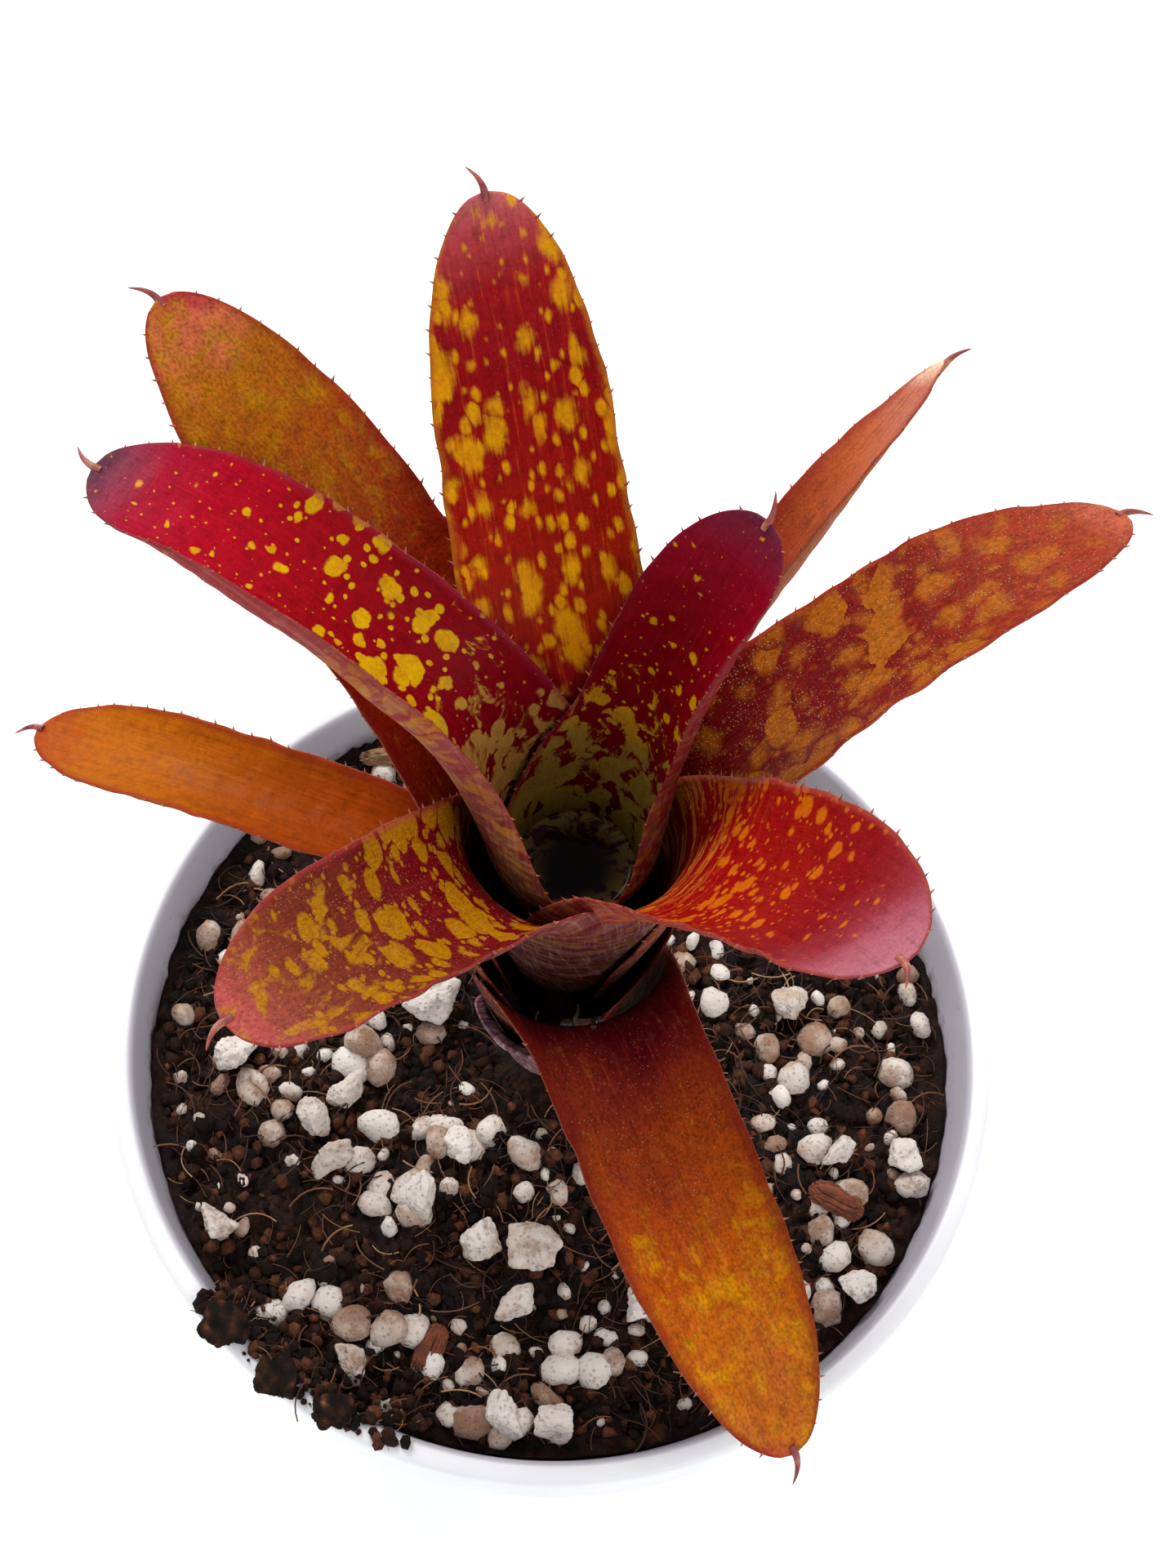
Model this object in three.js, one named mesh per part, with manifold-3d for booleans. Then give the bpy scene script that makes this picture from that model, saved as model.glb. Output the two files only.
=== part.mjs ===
import * as THREE from 'three';
import { mergeVertices } from 'three/addons/utils/BufferGeometryUtils.js';
import Module from 'manifold-3d';

// A young bromeliad in a white plastic nursery pot. Millimetres, +Z up.
// The origin is the centre of the pot's base and the plant stands on the Z axis.

// Pot
const potHeight = 90;
const potBaseRadius = 37.5;
const potWall = 1.2;
const potFloor = 1.6;
const rimInnerRadius = 50;
const rimWidth = 2.6;
const rimBand = 12;
const rimStep = 1;
const potEdge = 0.8;
const potSegments = 48;
const drainHoles = 6;
const drainHoleRadius = 4;
const drainCircleRadius = 26;
const drainHoleSegments = 16;

// Soil
const soilBelowRim = 7;
const soilSwell = 0.8;
const soilRings = 6;
const longSwell = { alongX: 9, alongY: 8, shiftX: 1.1, shiftY: -0.4, share: 0.65 };
const shortSwell = { alongX: 6, alongY: 7, share: 0.35 };
const gap = 0.3;

// Stem and the spacing of its nodes, where one sheath after another is attached
const stemRadius = 2.2;
const stemDepth = 13;
const firstNodeAboveSoil = 5;
const stemTopAboveLastNode = 1.1;
const stemCollar = 1;
const stemSegments = 16;

// Every sheath follows the same flared funnel, measured from its own node
const sheathRadius = 5;
const sheathSlope = 0.2;
const sheathThickness = 0.45;
const sheathGap = 0.47;
const footHeight = 3.5;
const sheathRows = 5;
const footRow = 1.3;
const sheathRowSpread = 1.6;
const degreesPerColumn = 22;

// Blades
const bladeThickness = 1.1;
const marginThickness = 0.3;
const tipThickness = 0.45;
const bladeRows = 13;
const finePerRow = 12;
const bladeRowSpread = 1.35;

// Shares of a blade's length: freeing itself from the funnel starts before the blade
// does, opening out starts just after, and the outer half grows flatter and thinner
const freeLead = 0.12;
const freeSpan = 0.42;
const openFrom = 0.05;
const flatFrom = 0.5;
const flattening = 0.5;
const bendShare = 0.4;
const rollShare = 0.6;
const tipShare = 0.4;
const tipRoundness = 2.2;
const tipLeast = 0.0004;
const spineLength = 3.2;
const spineRadius = 0.45;
const spineSides = 6;
const spineTaper = 5;
const spineOutside = 0.3;

// Water held in the cup of the youngest leaves
const waterDepth = 6.2;
const waterMiddle = 0.3;
const waterSegments = 20;

// Leaves from the oldest to the youngest. azimuth is where the midrib stands, rise is
// the height of the sheath, lean is the blade's slope once bent, arch its droop towards
// the tip, sweep and roll turn it along its length, channel is half the angle that its
// cross-section bends through, wrap is half the angle that its sheath covers, and skew
// turns that cover about the stem.
const leaves = [
  { azimuth: 290, rise: 29.5, blade: 57.5, width: 17.4, taper: 0.2,
    lean: 14, arch: 35, sweep: 15, roll: -5, channel: 30, wrap: 80, skew: 0 },
  { azimuth: 173, rise: 25, blade: 59, width: 12.4, taper: -0.15,
    lean: 3.5, arch: 23, sweep: -12, roll: 5, channel: 50, wrap: 75, skew: 5 },
  { azimuth: 60, rise: 29.5, blade: 61, width: 11, taper: 0,
    lean: 44, arch: 17, sweep: -9, roll: -46, channel: 54, wrap: 80, skew: 0 },
  { azimuth: 141, rise: 28, blade: 66.5, width: 18.6, taper: 0.2,
    lean: 44.5, arch: 14, sweep: 6, roll: -3, channel: 22, wrap: 85, skew: 0 },
  { azimuth: 27, rise: 28, blade: 61, width: 18.6, taper: 0.15,
    lean: 55, arch: 60, sweep: 7, roll: -25, channel: 22, wrap: 85, skew: 0 },
  { azimuth: 234, rise: 32.5, blade: 39.5, width: 18.4, taper: 0.3,
    lean: 36, arch: 25, sweep: -11, roll: -3, channel: 43, wrap: 65, skew: -8 },
  { azimuth: 326, rise: 26.5, blade: 50, width: 19.8, taper: 0.35,
    lean: 57, arch: 14, sweep: -28, roll: 18, channel: 37, wrap: 86, skew: 0 },
  { azimuth: 107, rise: 25, blade: 54.5, width: 17.8, taper: 0.2,
    lean: 42, arch: 1, sweep: 8, roll: -25, channel: 27, wrap: 66, skew: -14 },
  { azimuth: 160.5, rise: 20.5, blade: 52.5, width: 17.7, taper: 0.1,
    lean: 33, arch: 28, sweep: 0, roll: 3, channel: 53, wrap: 96, skew: 20 },
  { azimuth: 54.5, rise: 13.5, blade: 36.5, width: 15.9, taper: 0.1,
    lean: 71, arch: 13, sweep: -7, roll: -7, channel: 50, wrap: 120, skew: 0 },
];
const driedSheath = { azimuth: 243, rise: 18, blade: 12, width: 13, taper: 0.1,
  lean: 74, arch: 4, sweep: 0, roll: 0, channel: 50, wrap: 62, skew: 0 };

// Perlite grains on the soil: [angle, share of the soil's radius, diameter]
const perliteGrains = [
  [272, 0.52, 6.6], [258, 0.53, 5.2], [269, 0.66, 5], [167, 0.33, 7],
  [200, 0.53, 4.4], [205, 0.62, 5], [217, 0.62, 5.4], [236, 0.52, 5.6],
  [236, 0.35, 5.2], [277, 0.93, 4.8], [270, 0.92, 4.8], [246, 0.93, 4.2],
  [295, 0.70, 4.6], [19, 0.62, 4.8], [189, 0.79, 5.6], [327, 0.95, 5],
  [217, 0.93, 5], [349, 0.92, 4.4], [346, 0.76, 4.6], [50, 0.70, 5],
];
const grainWidth = 0.9;
const grainFlatness = 0.8;
const grainReach = 0.2;
const lumpWaves = { x: 7, y: 6, z: 8, height: 0.07 };

// Clods of soil lying on the rim, and the chips of wood and bark in the mix
const clods = [
  { angle: 231, length: 9 },
  { angle: 240.5, length: 7 },
  { angle: 248.5, length: 6.5 },
];
const clodHeight = 3.6;
const clodDepth = 5.4;
const chipShape = { narrowing: 0.5, bow: 0.06, bowWaves: 3, reach: 0.45 };
const chips = [
  { name: 'wood_stick', angle: 122.6, share: 0.91, size: [12, 2.6, 2.2], turn: 6 },
  { name: 'bark_chip_01', angle: -22.6, share: 0.8, size: [6.5, 3.4, 1.8], turn: -35 },
  { name: 'bark_chip_02', angle: -103.9, share: 0.81, size: [5.5, 3, 1.8], turn: 60 },
];

const wasm = await Module();
wasm.setup();

const radians = THREE.MathUtils.degToRad;
const soilLevel = potHeight - soilBelowRim;
const nodeSpacing = (sheathThickness + sheathGap) / sheathSlope;
const footInset = sheathRadius - (stemRadius + gap + sheathThickness / 2);
const firstNode = soilLevel + firstNodeAboveSoil;
const lastNode = firstNode + nodeSpacing * (leaves.length - 1);
const stemTop = lastNode + stemTopAboveLastNode;
const socketFloor = soilLevel - stemDepth;

// One closed solid from a geometry: shared corners merged, folded triangles dropped.
function toSolid(geometry) {
  const bare = geometry.clone();
  bare.deleteAttribute('normal');
  bare.deleteAttribute('uv');
  const merged = mergeVertices(bare);
  const corners = merged.index.array;
  const triangles = [];
  for (let i = 0; i < corners.length; i += 3) {
    const [a, b, c] = [corners[i], corners[i + 1], corners[i + 2]];
    if (a !== b && b !== c && c !== a) triangles.push(a, b, c);
  }
  const vertProperties = new Float32Array(merged.attributes.position.array);
  const triVerts = new Uint32Array(triangles);
  return new wasm.Manifold(new wasm.Mesh({ numProp: 3, vertProperties, triVerts }));
}

function toGeometry(solid) {
  const { vertProperties, triVerts } = solid.getMesh();
  const geometry = new THREE.BufferGeometry();
  geometry.setAttribute('position', new THREE.BufferAttribute(vertProperties, 3));
  geometry.setIndex(new THREE.BufferAttribute(triVerts, 1));
  geometry.computeVertexNormals();
  return geometry;
}

// Revolves [radius, height] corners about the Z axis.
function revolve(profile, segments) {
  const points = profile.map(([r, z]) => new THREE.Vector2(r, z));
  return new THREE.LatheGeometry(points, segments).rotateX(Math.PI / 2);
}

function soilTop(x, y) {
  const longWave = Math.sin(x / longSwell.alongX + longSwell.shiftX)
    * Math.cos(y / longSwell.alongY + longSwell.shiftY);
  const shortWave = Math.sin(x / shortSwell.alongX - y / shortSwell.alongY);
  return soilLevel + soilSwell * (longSwell.share * longWave + shortSwell.share * shortWave);
}

function smooth(x) {
  const t = THREE.MathUtils.clamp(x, 0, 1);
  return t * t * (3 - 2 * t);
}

// The pot's wall, from its base to the foot of the rim band, as a radius at a height.
const wallTop = potHeight - rimBand;
const bandRadius = rimInnerRadius + rimWidth;
const wallTopRadius = rimInnerRadius - rimStep;
function wallRadius(z) {
  return potBaseRadius + (wallTopRadius - potBaseRadius) * Math.min(z / wallTop, 1);
}
function potInnerRadius(z) {
  const shoulder = wallRadius(wallTop) - potWall;
  if (z <= wallTop) return wallRadius(z) - potWall;
  return shoulder + (rimInnerRadius - shoulder) * (z - wallTop) / rimBand;
}

const soilRadius = potInnerRadius(soilLevel - soilSwell) - gap;

function buildPot() {
  const edge = potEdge;
  const profile = [
    [0, 0],
    [potBaseRadius - edge, 0],
    [wallRadius(edge), edge],
    [wallTopRadius, wallTop],
    [bandRadius - edge, wallTop + edge],
    [bandRadius, potHeight - edge],
    [bandRadius - edge, potHeight],
    [rimInnerRadius + edge, potHeight],
    [potInnerRadius(potHeight - edge), potHeight - edge],
    [potInnerRadius(wallTop), wallTop],
    [potInnerRadius(potFloor), potFloor],
    [0, potFloor],
  ];
  let pot = toSolid(revolve(profile, potSegments));
  for (let i = 0; i < drainHoles; i += 1) {
    const angle = radians(360 / drainHoles) * i;
    const hole = new THREE.CylinderGeometry(
      drainHoleRadius, drainHoleRadius, potFloor * 4, drainHoleSegments);
    hole.rotateX(Math.PI / 2);
    hole.translate(drainCircleRadius * Math.cos(angle), drainCircleRadius * Math.sin(angle), 0);
    pot = pot.subtract(toSolid(hole));
  }
  return toGeometry(pot);
}

function buildSoil() {
  const socketRadius = stemRadius + gap;
  const foot = potFloor + gap;
  const profile = [[0, foot], [potInnerRadius(foot) - gap, foot], [potInnerRadius(wallTop) - gap, wallTop]];
  for (let i = 0; i <= soilRings; i += 1) {
    const share = i / soilRings;
    profile.push([soilRadius + (socketRadius - soilRadius) * share, soilLevel]);
  }
  profile.push([socketRadius, socketFloor], [0, socketFloor]);
  const soil = revolve(profile, potSegments);
  const corners = soil.attributes.position;
  for (let i = 0; i < corners.count; i += 1) {
    const onTop = Math.abs(corners.getZ(i) - soilLevel) < gap / 10;
    if (onTop) corners.setZ(i, soilTop(corners.getX(i), corners.getY(i)));
  }
  return toGeometry(toSolid(soil));
}

function buildStem() {
  const profile = [
    [0, socketFloor + gap],
    [stemRadius, socketFloor + gap],
    [stemRadius, stemTop - stemCollar],
    [stemRadius - stemCollar / 2, stemTop],
    [0, stemTop],
  ];
  return toGeometry(toSolid(revolve(profile, stemSegments)));
}

function funnelRadius(h) {
  return sheathRadius - footInset * Math.exp(-h / footHeight) + sheathSlope * h;
}

// Stations along one leaf, from its foot at the stem to its tip. Each holds a point of
// the midrib, the direction of growth, the sideways and inward directions, the radius,
// skew and half width of the curved cross-section, and the thickness at the midrib.
function leafStations(leaf, foot) {
  const stations = [];
  const azimuth = radians(leaf.azimuth);
  const steep = Math.atan2(1, sheathSlope);
  const addStation = (point, u, slope, heading) => {
    const along = new THREE.Vector3(
      Math.cos(slope) * Math.cos(heading), Math.cos(slope) * Math.sin(heading), Math.sin(slope));
    const side = new THREE.Vector3(-Math.sin(heading), Math.cos(heading), 0);
    const inward = new THREE.Vector3(-Math.cos(heading), -Math.sin(heading), 0);
    inward.lerp(new THREE.Vector3().crossVectors(along, side), smooth(u / bendShare)).normalize();
    const roll = radians(leaf.roll) * smooth(u / rollShare);
    const rolledSide = side.clone().multiplyScalar(Math.cos(roll)).addScaledVector(inward, Math.sin(roll));
    const rolledIn = inward.clone().multiplyScalar(Math.cos(roll)).addScaledVector(side, -Math.sin(roll));
    const free = smooth((u + freeLead) / freeSpan);
    const wrap = radians(leaf.wrap);
    const height = Math.min(point.z - foot, leaf.rise);
    const bladeHalf = leaf.width / 2 * (1 + leaf.taper * (0.5 - u));
    const half = funnelRadius(height) * wrap * (1 - free) + bladeHalf * free;
    const channel = radians(leaf.channel) * (1 - flattening * smooth((u - flatFrom) / (1 - flatFrom)));
    const opened = smooth((u - openFrom) / bendShare);
    const radius = funnelRadius(height) * (1 - opened) + bladeHalf / channel * opened;
    const skew = radians(leaf.skew) * (1 - free);
    const tip = THREE.MathUtils.clamp((u - 1 + tipShare) / tipShare, 0, 1);
    const narrowing = Math.sqrt(Math.max(1 - tip ** tipRoundness, tipLeast));
    const thickness = sheathThickness + (bladeThickness - sheathThickness) * free;
    const thinned = thickness + (tipThickness - thickness) * smooth((u - flatFrom) / (1 - flatFrom));
    stations.push({ point, along, side: rolledSide, inward: rolledIn, radius, skew,
      half: half * narrowing, thickness: thinned });
  };

  for (let i = 0; i <= sheathRows; i += 1) {
    const spread = ((i - 1) / (sheathRows - 1)) ** sheathRowSpread;
    const height = i === 0 ? 0 : footRow + (leaf.rise - footRow) * spread;
    const r = funnelRadius(height);
    const point = new THREE.Vector3(r * Math.cos(azimuth), r * Math.sin(azimuth), foot + height);
    addStation(point, (height - leaf.rise) / leaf.blade, steep, azimuth);
  }

  const fine = bladeRows * finePerRow;
  const point = stations[stations.length - 1].point.clone();
  const bend = radians(leaf.lean) - steep;
  const slopeAt = (u) => steep + bend * smooth(u / bendShare) - radians(leaf.arch) * u * u;
  let reached = 0;
  for (let row = 1; row <= bladeRows; row += 1) {
    const u = 1 - (1 - row / bladeRows) ** bladeRowSpread;
    const steps = Math.max(2, Math.round((u - reached) * fine));
    const step = (u - reached) / steps;
    for (let i = 0; i < steps; i += 1) {
      const middle = reached + (i + 0.5) * step;
      const slope = slopeAt(middle);
      const heading = azimuth + radians(leaf.sweep) * middle;
      point.x += leaf.blade * step * Math.cos(slope) * Math.cos(heading);
      point.y += leaf.blade * step * Math.cos(slope) * Math.sin(heading);
      point.z += leaf.blade * step * Math.sin(slope);
    }
    reached = u;
    addStation(point.clone(), u, slopeAt(u), azimuth + radians(leaf.sweep) * u);
  }
  return stations;
}

// A closed sheet between an upper and a lower grid of points, each [row][column].
function sheet(upper, lower) {
  const rows = upper.length;
  const columns = upper[0].length;
  const points = [...upper.flat(), ...lower.flat()];
  const top = (i, j) => i * columns + j;
  const under = (i, j) => rows * columns + i * columns + j;
  const triangles = [];
  const quad = (a, b, c, d) => triangles.push(a, b, c, a, c, d);
  for (let i = 0; i < rows - 1; i += 1) {
    for (let j = 0; j < columns - 1; j += 1) {
      quad(top(i, j), top(i + 1, j), top(i + 1, j + 1), top(i, j + 1));
      quad(under(i, j), under(i, j + 1), under(i + 1, j + 1), under(i + 1, j));
    }
    quad(top(i, 0), under(i, 0), under(i + 1, 0), top(i + 1, 0));
    const last = columns - 1;
    quad(top(i, last), top(i + 1, last), under(i + 1, last), under(i, last));
  }
  for (let j = 0; j < columns - 1; j += 1) {
    quad(top(0, j), top(0, j + 1), under(0, j + 1), under(0, j));
    const end = rows - 1;
    quad(top(end, j), under(end, j), under(end, j + 1), top(end, j + 1));
  }
  const geometry = new THREE.BufferGeometry().setFromPoints(points);
  geometry.setIndex(triangles);
  return geometry;
}

function buildLeaf(leaf, foot, withSpine) {
  const stations = leafStations(leaf, foot);
  const columns = 2 * Math.ceil(leaf.wrap / degreesPerColumn);
  const upper = [];
  const lower = [];
  for (const station of stations) {
    const upperRow = [];
    const lowerRow = [];
    for (let j = 0; j <= columns; j += 1) {
      const across = 2 * j / columns - 1;
      const angle = across * station.half / station.radius + station.skew;
      const middle = station.point.clone()
        .addScaledVector(station.side, station.radius * Math.sin(angle))
        .addScaledVector(station.inward, station.radius * (1 - Math.cos(angle)));
      const normal = station.inward.clone().multiplyScalar(Math.cos(angle))
        .addScaledVector(station.side, -Math.sin(angle));
      const margin = Math.min(marginThickness, station.thickness);
      const thickness = station.thickness + (margin - station.thickness) * across * across;
      upperRow.push(middle.clone().addScaledVector(normal, thickness / 2));
      lowerRow.push(middle.clone().addScaledVector(normal, -thickness / 2));
    }
    upper.push(upperRow);
    lower.push(lowerRow);
  }
  const body = toSolid(sheet(upper, lower));
  if (!withSpine) return toGeometry(body);
  const end = stations[stations.length - 1];
  const spine = new THREE.CylinderGeometry(spineRadius / spineTaper, spineRadius, spineLength, spineSides);
  const growth = new THREE.Quaternion().setFromUnitVectors(new THREE.Vector3(0, 1, 0), end.along);
  const centre = end.point.clone().addScaledVector(end.along, spineLength * spineOutside);
  spine.applyQuaternion(growth).translate(centre.x, centre.y, centre.z);
  return toGeometry(body.add(toSolid(spine)));
}

function buildWater() {
  const bottom = stemTop + gap;
  const clearance = sheathThickness / 2 + gap;
  const levels = [bottom, bottom + waterDepth * waterMiddle, bottom + waterDepth];
  const profile = levels.map((z) => [funnelRadius(z - lastNode) - clearance, z]);
  const outline = [[0, bottom], ...profile, [0, bottom + waterDepth]];
  return toGeometry(toSolid(revolve(outline, waterSegments)));
}

// A lumpy stone-like body: a ball pushed in and out by a few waves, then scaled.
function lump(size, seed) {
  const ball = mergeVertices(toBare(new THREE.IcosahedronGeometry(0.5, 1)));
  const corners = ball.attributes.position;
  const p = new THREE.Vector3();
  for (let i = 0; i < corners.count; i += 1) {
    p.fromBufferAttribute(corners, i);
    const flat = Math.sin(lumpWaves.x * p.x + seed) * Math.cos(lumpWaves.y * p.y - seed);
    const upright = Math.sin(lumpWaves.z * p.z + 2 * seed);
    p.multiplyScalar(1 + lumpWaves.height * (flat + upright));
    corners.setXYZ(i, p.x, p.y, p.z);
  }
  ball.scale(...size);
  return ball;
}

function toBare(geometry) {
  geometry.deleteAttribute('normal');
  geometry.deleteAttribute('uv');
  return geometry;
}

// Lays a lump on the soil, its lowest corner the gap above the highest soil beneath it.
function layOnSoil(body, angle, share, reach) {
  const x = share * soilRadius * Math.cos(radians(angle));
  const y = share * soilRadius * Math.sin(radians(angle));
  let ground = soilTop(x, y);
  for (const bearing of [0, 60, 120, 180, 240, 300]) {
    const dx = reach * Math.cos(radians(bearing));
    const dy = reach * Math.sin(radians(bearing));
    ground = Math.max(ground, soilTop(x + dx, y + dy));
  }
  body.computeBoundingBox();
  return body.translate(x, y, ground + gap - body.boundingBox.min.z);
}

function buildGrain([angle, share, diameter], seed) {
  const body = lump([diameter, diameter * grainWidth, diameter * grainFlatness], seed);
  body.rotateZ(seed);
  return toGeometry(toSolid(layOnSoil(body, angle, share, diameter * grainReach)));
}

function buildClod({ angle, length }, seed) {
  const body = lump([clodDepth, length, clodHeight], seed);
  body.rotateZ(radians(angle));
  body.computeBoundingBox();
  const r = rimInnerRadius + rimWidth / 2;
  const z = potHeight + gap - body.boundingBox.min.z;
  body.translate(r * Math.cos(radians(angle)), r * Math.sin(radians(angle)), z);
  return toGeometry(toSolid(body));
}

function buildChip({ angle, share, size, turn }) {
  const body = toBare(new THREE.BoxGeometry(...size, 3, 1, 1));
  const corners = body.attributes.position;
  for (let i = 0; i < corners.count; i += 1) {
    const along = corners.getX(i) / size[0];
    const narrowed = corners.getY(i) * (1 - chipShape.narrowing * along * along);
    const bow = chipShape.bow * size[0] * Math.sin(chipShape.bowWaves * along);
    corners.setY(i, narrowed + bow);
  }
  body.rotateZ(radians(turn));
  return toGeometry(toSolid(layOnSoil(body, angle, share, size[0] * chipShape.reach)));
}

const plant = new THREE.Group();
const materials = {
  plastic: new THREE.MeshStandardMaterial({ color: 0xf2f2f0, roughness: 0.45, metalness: 0 }),
  soil: new THREE.MeshStandardMaterial({ color: 0x2a1d16, roughness: 0.95, metalness: 0 }),
  stem: new THREE.MeshStandardMaterial({ color: 0x8a7a45, roughness: 0.7, metalness: 0 }),
  dried: new THREE.MeshStandardMaterial({ color: 0x8c7080, roughness: 0.8, metalness: 0 }),
  water: new THREE.MeshStandardMaterial({ color: 0x1c1210, roughness: 0.05, metalness: 0 }),
  perlite: new THREE.MeshStandardMaterial({ color: 0xe2dbd2, roughness: 0.9, metalness: 0 }),
  wood: new THREE.MeshStandardMaterial({ color: 0x9a6b45, roughness: 0.85, metalness: 0 }),
};
const leafColors = [
  0xc2521f, 0xd98a3c, 0xb8702e, 0x9d9440, 0x7a5a35, 0xa8492f, 0xc53a40, 0x9c2038, 0xa81f45, 0xa01a3c,
];

function addPiece(name, geometry, material) {
  const mesh = new THREE.Mesh(geometry, material);
  mesh.name = name;
  plant.add(mesh);
}

function numbered(prefix, index) {
  return `${prefix}_${String(index + 1).padStart(2, '0')}`;
}

addPiece('pot', buildPot(), materials.plastic);
addPiece('soil', buildSoil(), materials.soil);
addPiece('stem', buildStem(), materials.stem);
leaves.forEach((leaf, i) => {
  const color = leafColors[i];
  const material = new THREE.MeshStandardMaterial({ color, roughness: 0.5, metalness: 0 });
  addPiece(numbered('leaf', i), buildLeaf(leaf, firstNode + nodeSpacing * i, true), material);
});
const soilCollar = soilLevel + soilSwell + gap;
addPiece('dried_sheath', buildLeaf(driedSheath, soilCollar, false), materials.dried);
addPiece('tank_water', buildWater(), materials.water);
perliteGrains.forEach((grain, i) => {
  addPiece(numbered('perlite', i), buildGrain(grain, i), materials.perlite);
});
clods.forEach((clod, i) => addPiece(numbered('soil_clod', i), buildClod(clod, i), materials.soil));
chips.forEach((chip) => addPiece(chip.name, buildChip(chip), materials.wood));

export default plant;
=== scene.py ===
import math

import bmesh
import bpy
import numpy as np
from mathutils import Matrix, Vector


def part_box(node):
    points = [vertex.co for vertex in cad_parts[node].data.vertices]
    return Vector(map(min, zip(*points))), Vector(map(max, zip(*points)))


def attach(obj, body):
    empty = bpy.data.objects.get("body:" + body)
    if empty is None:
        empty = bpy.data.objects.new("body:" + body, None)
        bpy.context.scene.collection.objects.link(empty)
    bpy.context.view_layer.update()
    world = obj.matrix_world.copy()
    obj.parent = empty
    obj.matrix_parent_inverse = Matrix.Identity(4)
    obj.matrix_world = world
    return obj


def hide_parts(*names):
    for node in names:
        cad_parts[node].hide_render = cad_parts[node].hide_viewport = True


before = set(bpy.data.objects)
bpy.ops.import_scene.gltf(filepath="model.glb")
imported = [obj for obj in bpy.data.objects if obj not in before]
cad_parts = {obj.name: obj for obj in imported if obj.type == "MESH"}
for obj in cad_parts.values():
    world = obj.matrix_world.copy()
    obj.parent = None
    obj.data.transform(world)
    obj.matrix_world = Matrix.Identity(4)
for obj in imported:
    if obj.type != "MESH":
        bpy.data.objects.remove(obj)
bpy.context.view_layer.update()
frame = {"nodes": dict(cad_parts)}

# A young bromeliad in a white nursery pot. Sizes are in millimetres until a mesh is made.
MM = 0.001

# ---------------------------------------------------------------- sizes that repeat the frame's
RIM_INNER_RADIUS = 50.0
RIM_WIDTH = 2.6
RIM_BAND = 12.0
POT_BASE_RADIUS = 37.5
POT_WALL = 1.2
POT_FLOOR = 1.6
RIM_STEP = 1.0
DRAIN_HOLES = 6
DRAIN_HOLE_RADIUS = 4.0
DRAIN_CIRCLE_RADIUS = 26.0
SOIL_BELOW_RIM = 7.0
SOIL_SWELL = 0.8
LONG_SWELL = dict(along_x=9, along_y=8, shift_x=1.1, shift_y=-0.4, share=0.65)
SHORT_SWELL = dict(along_x=6, along_y=7, share=0.35)
GAP = 0.3
STEM_RADIUS = 2.2
SHEATH_RADIUS = 5.0
SHEATH_SLOPE = 0.2
SHEATH_THICKNESS = 0.45
SHEATH_GAP = 0.47
FOOT_HEIGHT = 3.5
BLADE_THICKNESS = 1.1
TIP_THICKNESS = 0.45
BEND_SHARE = 0.4
ROLL_SHARE = 0.6
TIP_SHARE = 0.4
TIP_ROUNDNESS = 2.2
TIP_LEAST = 0.0004
FREE_LEAD = 0.12
FREE_SPAN = 0.42
OPEN_FROM = 0.05
FLAT_FROM = 0.5
FLATTENING = 0.5
FIRST_NODE_ABOVE_SOIL = 5.0

POT_HEIGHT = (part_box("pot")[1] / MM).z
BAND_RADIUS = RIM_INNER_RADIUS + RIM_WIDTH
SOIL_LEVEL = POT_HEIGHT - SOIL_BELOW_RIM
WALL_TOP = POT_HEIGHT - RIM_BAND
NODE_SPACING = (SHEATH_THICKNESS + SHEATH_GAP) / SHEATH_SLOPE
FOOT_INSET = SHEATH_RADIUS - (STEM_RADIUS + GAP + SHEATH_THICKNESS / 2)
FIRST_NODE = SOIL_LEVEL + FIRST_NODE_ABOVE_SOIL

# Leaves from the oldest to the youngest, as the frame has them.
LEAVES = [
    dict(azimuth=290, rise=29.5, blade=57.5, width=17.4, taper=0.2,
         lean=14, arch=35, sweep=15, roll=-5, channel=30, wrap=80, skew=0),
    dict(azimuth=173, rise=25, blade=59, width=12.4, taper=-0.15,
         lean=3.5, arch=23, sweep=-12, roll=5, channel=50, wrap=75, skew=5),
    dict(azimuth=60, rise=29.5, blade=61, width=11, taper=0,
         lean=44, arch=17, sweep=-9, roll=-46, channel=54, wrap=80, skew=0),
    dict(azimuth=141, rise=28, blade=66.5, width=18.6, taper=0.2,
         lean=44.5, arch=14, sweep=6, roll=-3, channel=22, wrap=85, skew=0),
    dict(azimuth=27, rise=28, blade=61, width=18.6, taper=0.15,
         lean=55, arch=60, sweep=7, roll=-25, channel=22, wrap=85, skew=0),
    dict(azimuth=234, rise=32.5, blade=39.5, width=18.4, taper=0.3,
         lean=36, arch=25, sweep=-11, roll=-3, channel=43, wrap=65, skew=-8),
    dict(azimuth=326, rise=26.5, blade=50, width=19.8, taper=0.35,
         lean=57, arch=14, sweep=-28, roll=18, channel=37, wrap=86, skew=0),
    dict(azimuth=107, rise=25, blade=54.5, width=17.8, taper=0.2,
         lean=42, arch=1, sweep=8, roll=-25, channel=27, wrap=66, skew=-14),
    dict(azimuth=160.5, rise=20.5, blade=52.5, width=17.7, taper=0.1,
         lean=33, arch=28, sweep=0, roll=3, channel=53, wrap=96, skew=20),
    dict(azimuth=54.5, rise=13.5, blade=36.5, width=15.9, taper=0.1,
         lean=71, arch=13, sweep=-7, roll=-7, channel=50, wrap=120, skew=0),
]
# Margins that roll inward and show the outer face: which side, and by how many degrees.
ROLLED_MARGINS = {6: (1, 30), 7: (-1, 34), 9: (1, 62), 10: (-1, 44)}
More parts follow.
